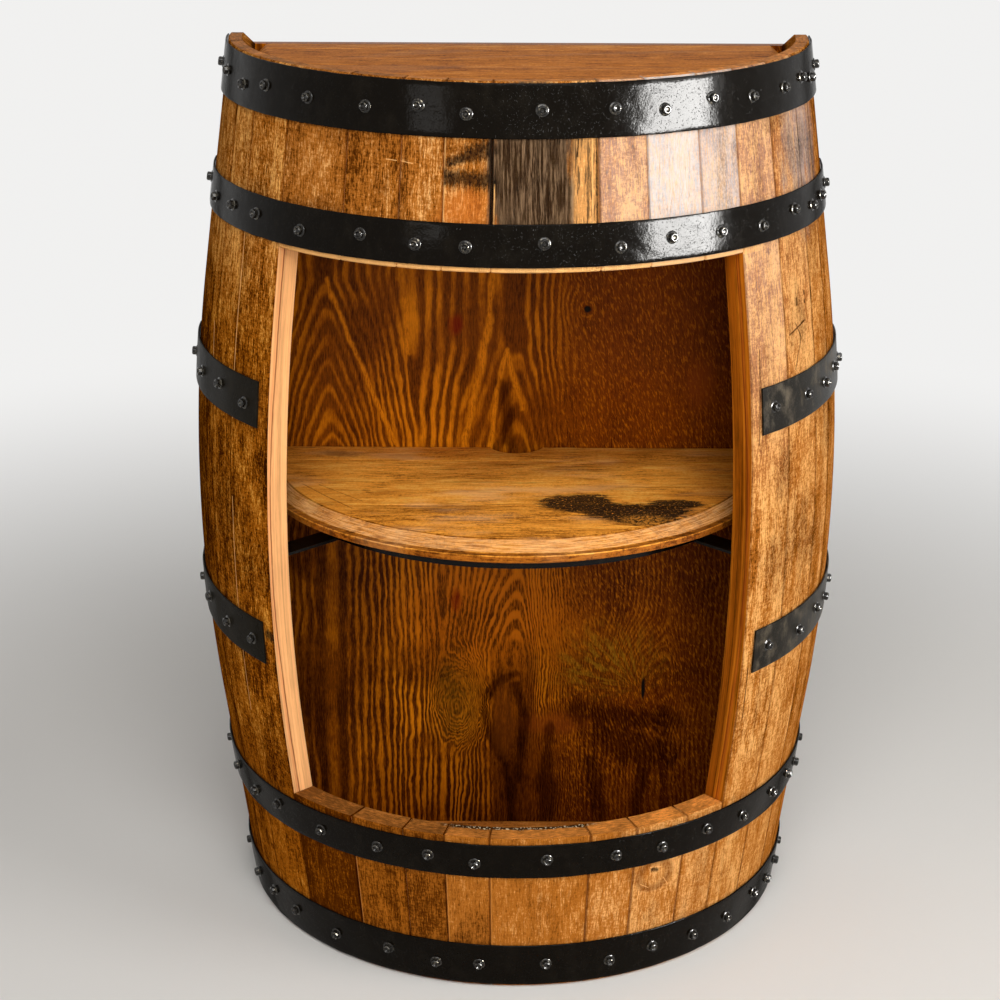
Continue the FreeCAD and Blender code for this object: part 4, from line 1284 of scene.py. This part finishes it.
def stained_plywood(name):
    """Dark-stained softwood plywood: bright hard grain bends round arches, knots and a swirl."""
    finish = sizes("finishes")
    shader = Shader(name)
    here = shader.vector("MULTIPLY", shader.where(), (1000, 0, 1000))
    x, _, z = shader.split(here)
    sunk = shader.plus(shader.times(shader.split(shader.where())[1], 1000), -SAWN_Y * 1000)
    face = shader.band(sunk, 6.0, 5.0)
    drift = shader.noise(here, (0.012, 0, 0.0035), 3.0, 0.55)
    tremble = shader.noise(here, (0.045, 0, 0.020), 3.0, 0.65)
    bent_x = shader.times_plus(drift, 30.0, shader.plus(x, -15.0))
    bent_x = shader.times_plus(tremble, 11.0, shader.plus(bent_x, -5.5))
    field, pull = panel_rings(shader, here, bent_x, z, tremble)
    curly = shader.band(x, 10, 80)
    crest = hard_grain(shader, here, x, z, field, pull, curly)

    fibre = shader.noise(here, (1.0, 0, 0.05), 4.0, 0.75)
    dash = shader.noise(here, (0.75, 0, 0.13), 3.0, 0.65)
    cloud = shader.noise(here, (0.016, 0, 0.010), 4.0, 0.65)
    slanted = shader.join(shader.times_plus(z, 0.33, x), 0.0, z)
    flecks = shader.noise(slanted, (0.50, 0, 0.14), 3.0, 0.6, 0.4)
    wavy = shader.join(shader.times_plus(tremble, 16.0, shader.plus(x, -8.0)), 0.0, z)
    bright = shader.inside(nearest_stroke(shader, wavy, PANEL_BRIGHT), dash, 2.6, 0.6)
    bright = shader.times(bright, shader.band(dash, 0.30, 0.55, 0.45, 0.95), face)
    value = shader.times(shader.larger(crest, bright), 0.29)
    for part, share in ((fibre, 0.46), (dash, 0.34), (cloud, 0.34),
                        (shader.times(shader.band(flecks, 0.50, 0.64), curly), 0.18)):
        value = shader.times_plus(part, share, value)
    value = shader.times_plus(shader.plus(value, -0.64), shader.band(z, 400, 480, 1.0, 0.78),
                              shader.band(z, 400, 480, 0.64, 0.66))
    shade = shader.ramp(value, [(0.42, scaled(finish.stain_dark, 0.45)), (0.54, finish.stain_dark),
                                (0.67, finish.stain_mid), (0.86, finish.stain_light)])
    redder = shader.times(shader.band(x, -40, 120), shader.band(cloud, 0.35, 0.6, 0.5, 1.0))
    shade = shader.mix(shader.times(redder, 0.45), shade, finish.stain_red)
    shade = panel_sheen_and_warm_grain(shader, shade, here, pull, dash, value, face)
    shade = panel_stains(shader, shade, here, x, z, tremble, cloud, face)
    shade, hole = panel_holes(shader, shade, here, tremble, dash, face)
    shade = ply_edges(shader, shade, sunk, fibre)
    height = shader.times_plus(fibre, 0.6, shader.times(crest, 0.35))
    height = shader.times_plus(hole, -3.0, height)
    shader.look(Base_Color=shade, Roughness=0.32, Specular_IOR_Level=0.03,
                Normal=shader.bump(height, 0.0005, 0.5))
    return shader.material


def bare_wood(name, shade):
    """Plain planed wood."""
    shader = Shader(name)
    fibre = shader.noise(shader.where(), (400, 30, 400), 3.0, 0.6)
    shader.look(Base_Color=shader.ramp(fibre, [(0.3, scaled(shade, 0.7)), (0.7, shade)]),
                Roughness=0.6)
    return shader.material


def zinc(name):
    """Zinc-plated steel."""
    shader = Shader(name)
    mottle = shader.noise(shader.where(), (900, 900, 900), 2.0, 0.5)
    shader.look(Base_Color=(0.62, 0.61, 0.58), Metallic=1.0,
                Roughness=shader.band(mottle, 0.3, 0.7, 0.28, 0.45))
    return shader.material


def refinish(node, material):
    """Give a CAD node that keeps its own shape a finish."""
    slots = NODES[node].data.materials
    slots.clear()
    slots.append(material)


# ---------------------------------------------------------------- operators and panel

# How much paler, and how much redder, each stave is than the usual wood, left to right. The
# paleness is partly painted light, darker on the shaded left and paler on the lit right, and the
# palest staves also take the painted glare.
STAVE_TONES = {
    "side_stave_left": [(-0.050, 0.85), (-0.036, 0.80), (-0.014, 0.75), (-0.022, 0.75)],
    "upper_stave": [(-0.028, 0.05), (-0.036, 0.15), (0.000, 0.0), (-0.004, 0.10),
                    (0.000, 0.0), (0.028, 0.0), (0.050, 0.0), (0.040, 0.0)],
    "side_stave_right": [(0.026, 0.10), (0.020, 0.10), (0.008, 0.1), (-0.010, 0.1), (-0.03, 0.3)],
    "lower_stave": [(-0.070, 0.80), (-0.042, 0.45), (-0.048, 0.30), (-0.006, 0.10),
                    (0.004, 0.10), (0.018, 0.0), (0.050, 0.0), (0.040, 0.0)],
}


class MakeStaves(bpy.types.Operator):
    """Build every stave, long and short"""
    bl_idname = "half_barrel.staves"
    bl_label = "Staves"

    def execute(self, context):
        skin, end = stave_skin("stave_skin"), sawn_end("stave_end")
        left = sawn_side("left_cut", "cut_pale", None, -8.0, 0.20)
        # The right sawn faces take the brown with painted shade in it.
        right = sawn_side("right_cut", "cut_brown", (-14.0, -5.0), -10.0, 0.10)
        seed = 0
        for group, tones in STAVE_TONES.items():
            side = right if group.endswith("right") else left
            for number, (paler, redder) in enumerate(tones, start=1):
                seed += 1
                build_stave(f"{group}_{number}", seed, (paler, redder), [skin, side, end])
        return {"FINISHED"}


class MakeHoops(bpy.types.Operator):
    """Build the painted steel hoop straps"""
    bl_idname = "half_barrel.hoops"
    bl_label = "Hoops"

    def execute(self, context):
        finish = sizes("finishes")
        gloss = enamel("hoop_enamel", finish.enamel, 0.11, 1.3, 0.02, 0.06, 0.06)
        left = enamel("left_strap_enamel", finish.strap, 0.26, 0.6, 0.04, 0.02, 0.3)
        # The right straps face the window: their large film share is painted grey sheen as well as
        # dust.
        right = enamel("right_strap_enamel", finish.strap, 0.30, 0.8, 0.50, 0.065, 1.0)
        for seed, node in enumerate(sorted(n for n in NODES if n.startswith("hoop_"))):
            satin = left if node.endswith("left") else right
            build_hoop(node, seed, satin if "bilge" in node else gloss)
        return {"FINISHED"}


class MakeHoopScrews(bpy.types.Operator):
    """Build the hexagon screws that hold the hoops"""
    bl_idname = "half_barrel.hoop_screws"
    bl_label = "Hoop screws"

    def execute(self, context):
        paint = worn_paint("screw_enamel")
        top = sizes("screws").head_height
        for node in sorted(n for n in NODES if n.startswith("screws_")):
            seats = []
            for number, points in enumerate(screw_places(node)):
                centre = sum(points, Vector()) / len(points)
                angle = polar(centre)[1]
                lean = surface_lean(centre.z)
                out = place(math.cos(lean), angle, math.sin(lean)) - place(0, 0, 0)
                reach = max(point.dot(out) for point in points)
                seat = centre + (reach - top - centre.dot(out)) * out
                seats.append((seat, out, math.radians(23 * number)))
            build_screws(node, "_heads", "hoop_screw_steel", hex_head(), seats, paint)
        return {"FINISHED"}


class MakeHeads(bpy.types.Operator):
    """Build the boards of the top and bottom heads"""
    bl_idname = "half_barrel.heads"
    bl_label = "Heads"

    def execute(self, context):
        wood = head_wood("head_oak")
        low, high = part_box("top_head_board_1")
        radius = (high.x - low.x) / 2
        for seed, node in enumerate(sorted(n for n in NODES if "_head_board_" in n)):
            build_board(node, seed + 3, radius, SAWN_Y, "head_oak", wood,
                        upside_down=node.startswith("bottom"))
        return {"FINISHED"}


class MakeShelf(bpy.types.Operator):
    """Build the half-round shelf"""
    bl_idname = "half_barrel.shelf"
    bl_label = "Shelf"

    def execute(self, context):
        wood = shelf_wood("shelf_oak")
        low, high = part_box("shelf_board_1")
        radius = (high.x - low.x) / 2
        centre_y = SAWN_Y - sizes("boards").shelf_centre
        for seed, node in enumerate(sorted(n for n in NODES if n.startswith("shelf_board_"))):
            build_board(node, seed + 11, radius, centre_y, "shelf_oak", wood,
                        notch=SAWN_Y - high.y if node.endswith("1") else 0.0)
        return {"FINISHED"}


class MakeShelfSteel(bpy.types.Operator):
    """Finish the steel band, arms and screws under the shelf"""
    bl_idname = "half_barrel.shelf_steel"
    bl_label = "Shelf steel"

    def execute(self, context):
        paint = plain_paint("bracket_enamel", sizes("finishes").enamel, 0.2)
        for node in ("shelf_band", "shelf_arm_left", "shelf_arm_right", "shelf_arm_screws"):
            refinish(node, paint)
        return {"FINISHED"}


class MakeBack(bpy.types.Operator):
    """Finish the plywood back, its screws and the dowels"""
    bl_idname = "half_barrel.back"
    bl_label = "Back"

    def execute(self, context):
        looks = {"back_panel": stained_plywood("stained_plywood"),
                 "back_panel_screws": zinc("zinc_steel"),
                 "head_dowels": bare_wood("dowel_wood", tint(205, 165, 115))}
        looks["shelf_dowels"] = looks["head_dowels"]
        for node, material in looks.items():
            refinish(node, material)
        return {"FINISHED"}


BACKDROP_TINT = (1.0, 0.995, 0.985)
LAMP_TINT = (1.0, 0.985, 0.96)


class MakeStage(bpy.types.Operator):
    """Set up the floor, lights and camera"""
    bl_idname = "half_barrel.stage"
    bl_label = "Stage"

    def execute(self, context):
        context.scene.view_settings.view_transform = "Standard"
        self.floor()
        self.surround(context.scene)
        studio = sizes("studio")
        self.lamp("window", place(2.3, math.radians(62), 1.30), (1.3, 1.1), studio.window_watts)
        glint = self.lamp("window_glint", place(2.3, math.radians(57.5), 0.90), (1.1, 0.58),
                          studio.glint_watts)
        side = self.lamp("side_glint", place(2.6, math.radians(-31), 1.06), (0.5, 0.26),
                         studio.side_watts)
        for lamp in (glint, side):
            lamp.visible_diffuse = False
        self.lamp("fill", Vector((0.15, -2.5, 2.7)), (2.2, 1.6), studio.fill_watts)
        front = self.lamp("front", Vector((0.3, -3.2, 1.35)), (1.6, 1.2), studio.front_watts)
        front.visible_glossy = False
        self.camera(context.scene)
        return {"FINISHED"}

    def floor(self):
        """Pale floor that fades into the even surround away from the cabinet."""
        reach = 30.0
        mesh = bpy.data.meshes.new("studio_floor")
        corners = [(-reach, -reach, 0), (reach, -reach, 0), (reach, reach, 0), (-reach, reach, 0)]
        mesh.from_pydata(corners, [], [(0, 1, 2, 3)])
        shader = Shader("studio_floor")
        shader.look(Base_Color=sizes("finishes").floor, Roughness=0.75, Specular_IOR_Level=0.0)
        distance = shader.vector("LENGTH", shader.where())
        rays = shader.add("ShaderNodeLightPath").outputs
        seen = shader.larger(rays["Is Camera Ray"], rays["Is Glossy Ray"])
        seen = shader.larger(seen, rays["Is Transmission Ray"])
        share = shader.times(shader.band(distance, 0.7, 2.2), seen)
        level = sizes("studio").backdrop
        glow = shader.add("ShaderNodeEmission", {0: [level * part for part in BACKDROP_TINT]})
        blend = shader.add("ShaderNodeMixShader", {0: share, 1: shader.surface.outputs[0],
                                                   2: glow.outputs[0]})
        shader.feed(shader.output.inputs[0], blend.outputs[0])
        mesh.materials.append(shader.material)
        floor = bpy.data.objects.new("studio_floor", mesh)
        bpy.context.scene.collection.objects.link(floor)

    def surround(self, scene):
        """Even light from all round, seen as a pale backdrop."""
        studio = sizes("studio")
        world = bpy.data.worlds.new("studio")
        scene.world = world
        world.use_nodes = True
        tree = world.node_tree
        tree.nodes.clear()
        rays = tree.nodes.new("ShaderNodeLightPath").outputs
        light = tree.nodes.new("ShaderNodeBackground")
        light.inputs[0].default_value = (*LAMP_TINT, 1.0)
        light.inputs[1].default_value = studio.ambient
        backdrop = tree.nodes.new("ShaderNodeBackground")
        backdrop.inputs[0].default_value = (*BACKDROP_TINT, 1.0)
        backdrop.inputs[1].default_value = studio.backdrop
        seen = rays["Is Camera Ray"]
        for kind in ("Is Glossy Ray", "Is Transmission Ray"):
            either = tree.nodes.new("ShaderNodeMath")
            either.operation = "MAXIMUM"
            tree.links.new(seen, either.inputs[0])
            tree.links.new(rays[kind], either.inputs[1])
            seen = either.outputs[0]
        choice = tree.nodes.new("ShaderNodeMixShader")
        out = tree.nodes.new("ShaderNodeOutputWorld")
        tree.links.new(seen, choice.inputs[0])
        tree.links.new(light.outputs[0], choice.inputs[1])
        tree.links.new(backdrop.outputs[0], choice.inputs[2])
        tree.links.new(choice.outputs[0], out.inputs[0])

    def lamp(self, name, where, size, watts):
        """Rectangular soft light aimed at the cabinet's middle."""
        data = bpy.data.lights.new(name, "AREA")
        data.shape = "RECTANGLE"
        data.size, data.size_y = size
        data.energy = watts
        data.color = LAMP_TINT
        lamp = bpy.data.objects.new(name, data)
        turn = (Vector((0, 0, 0.5)) - where).to_track_quat("-Z", "Y")
        lamp.matrix_world = Matrix.Translation(where) @ turn.to_matrix().to_4x4()
        lamp.visible_camera = False
        bpy.context.scene.collection.objects.link(lamp)
        return lamp

    def camera(self, scene):
        studio = sizes("studio")
        camera = bpy.data.objects.new("camera", bpy.data.cameras.new("camera"))
        camera.data.lens = studio.lens
        camera.data.sensor_width = 36.0
        where = Vector((AXIS_X + studio.camera_side, SAWN_Y - studio.camera_distance,
                        studio.camera_height))
        camera.matrix_world = (Matrix.Translation(where)
                               @ Matrix.Rotation(studio.camera_turn, 4, "Z")
                               @ Matrix.Rotation(math.pi / 2 - studio.camera_pitch, 4, "X")
                               @ Matrix.Rotation(studio.camera_roll, 4, "Z"))
        scene.collection.objects.link(camera)
        scene.camera = camera


MAKERS = (MakeStage, MakeStaves, MakeHoops, MakeHoopScrews, MakeHeads, MakeShelf,
          MakeShelfSteel, MakeBack)


class CabinetPanel(bpy.types.Panel):
    """Sizes, finishes and steps of the half-barrel cabinet"""
    bl_idname = "VIEW3D_PT_half_barrel"
    bl_label = "Half-barrel cabinet"
    bl_space_type = "VIEW_3D"
    bl_region_type = "UI"
    bl_category = "Barrel cabinet"

    def draw(self, context):
        for title, group in GROUPS.items():
            box = self.layout.box()
            box.label(text=title.capitalize())
            for key in group.__annotations__:
                box.prop(sizes(title), key)
        for maker in MAKERS:
            self.layout.operator(maker.bl_idname)


CLASSES = tuple(GROUPS.values()) + MAKERS + (CabinetPanel,)


def register():
    for made in CLASSES:
        bpy.utils.register_class(made)
    for title, group in GROUPS.items():
        setattr(bpy.types.Scene, "half_barrel_" + title, PointerProperty(type=group))


def unregister():
    for title in GROUPS:
        delattr(bpy.types.Scene, "half_barrel_" + title)
    for made in reversed(CLASSES):
        bpy.utils.unregister_class(made)


def main():
    register()
    for maker in MAKERS:
        group, name = maker.bl_idname.split(".")
        getattr(getattr(bpy.ops, group), name)()


if __name__ == "__main__":
    main()
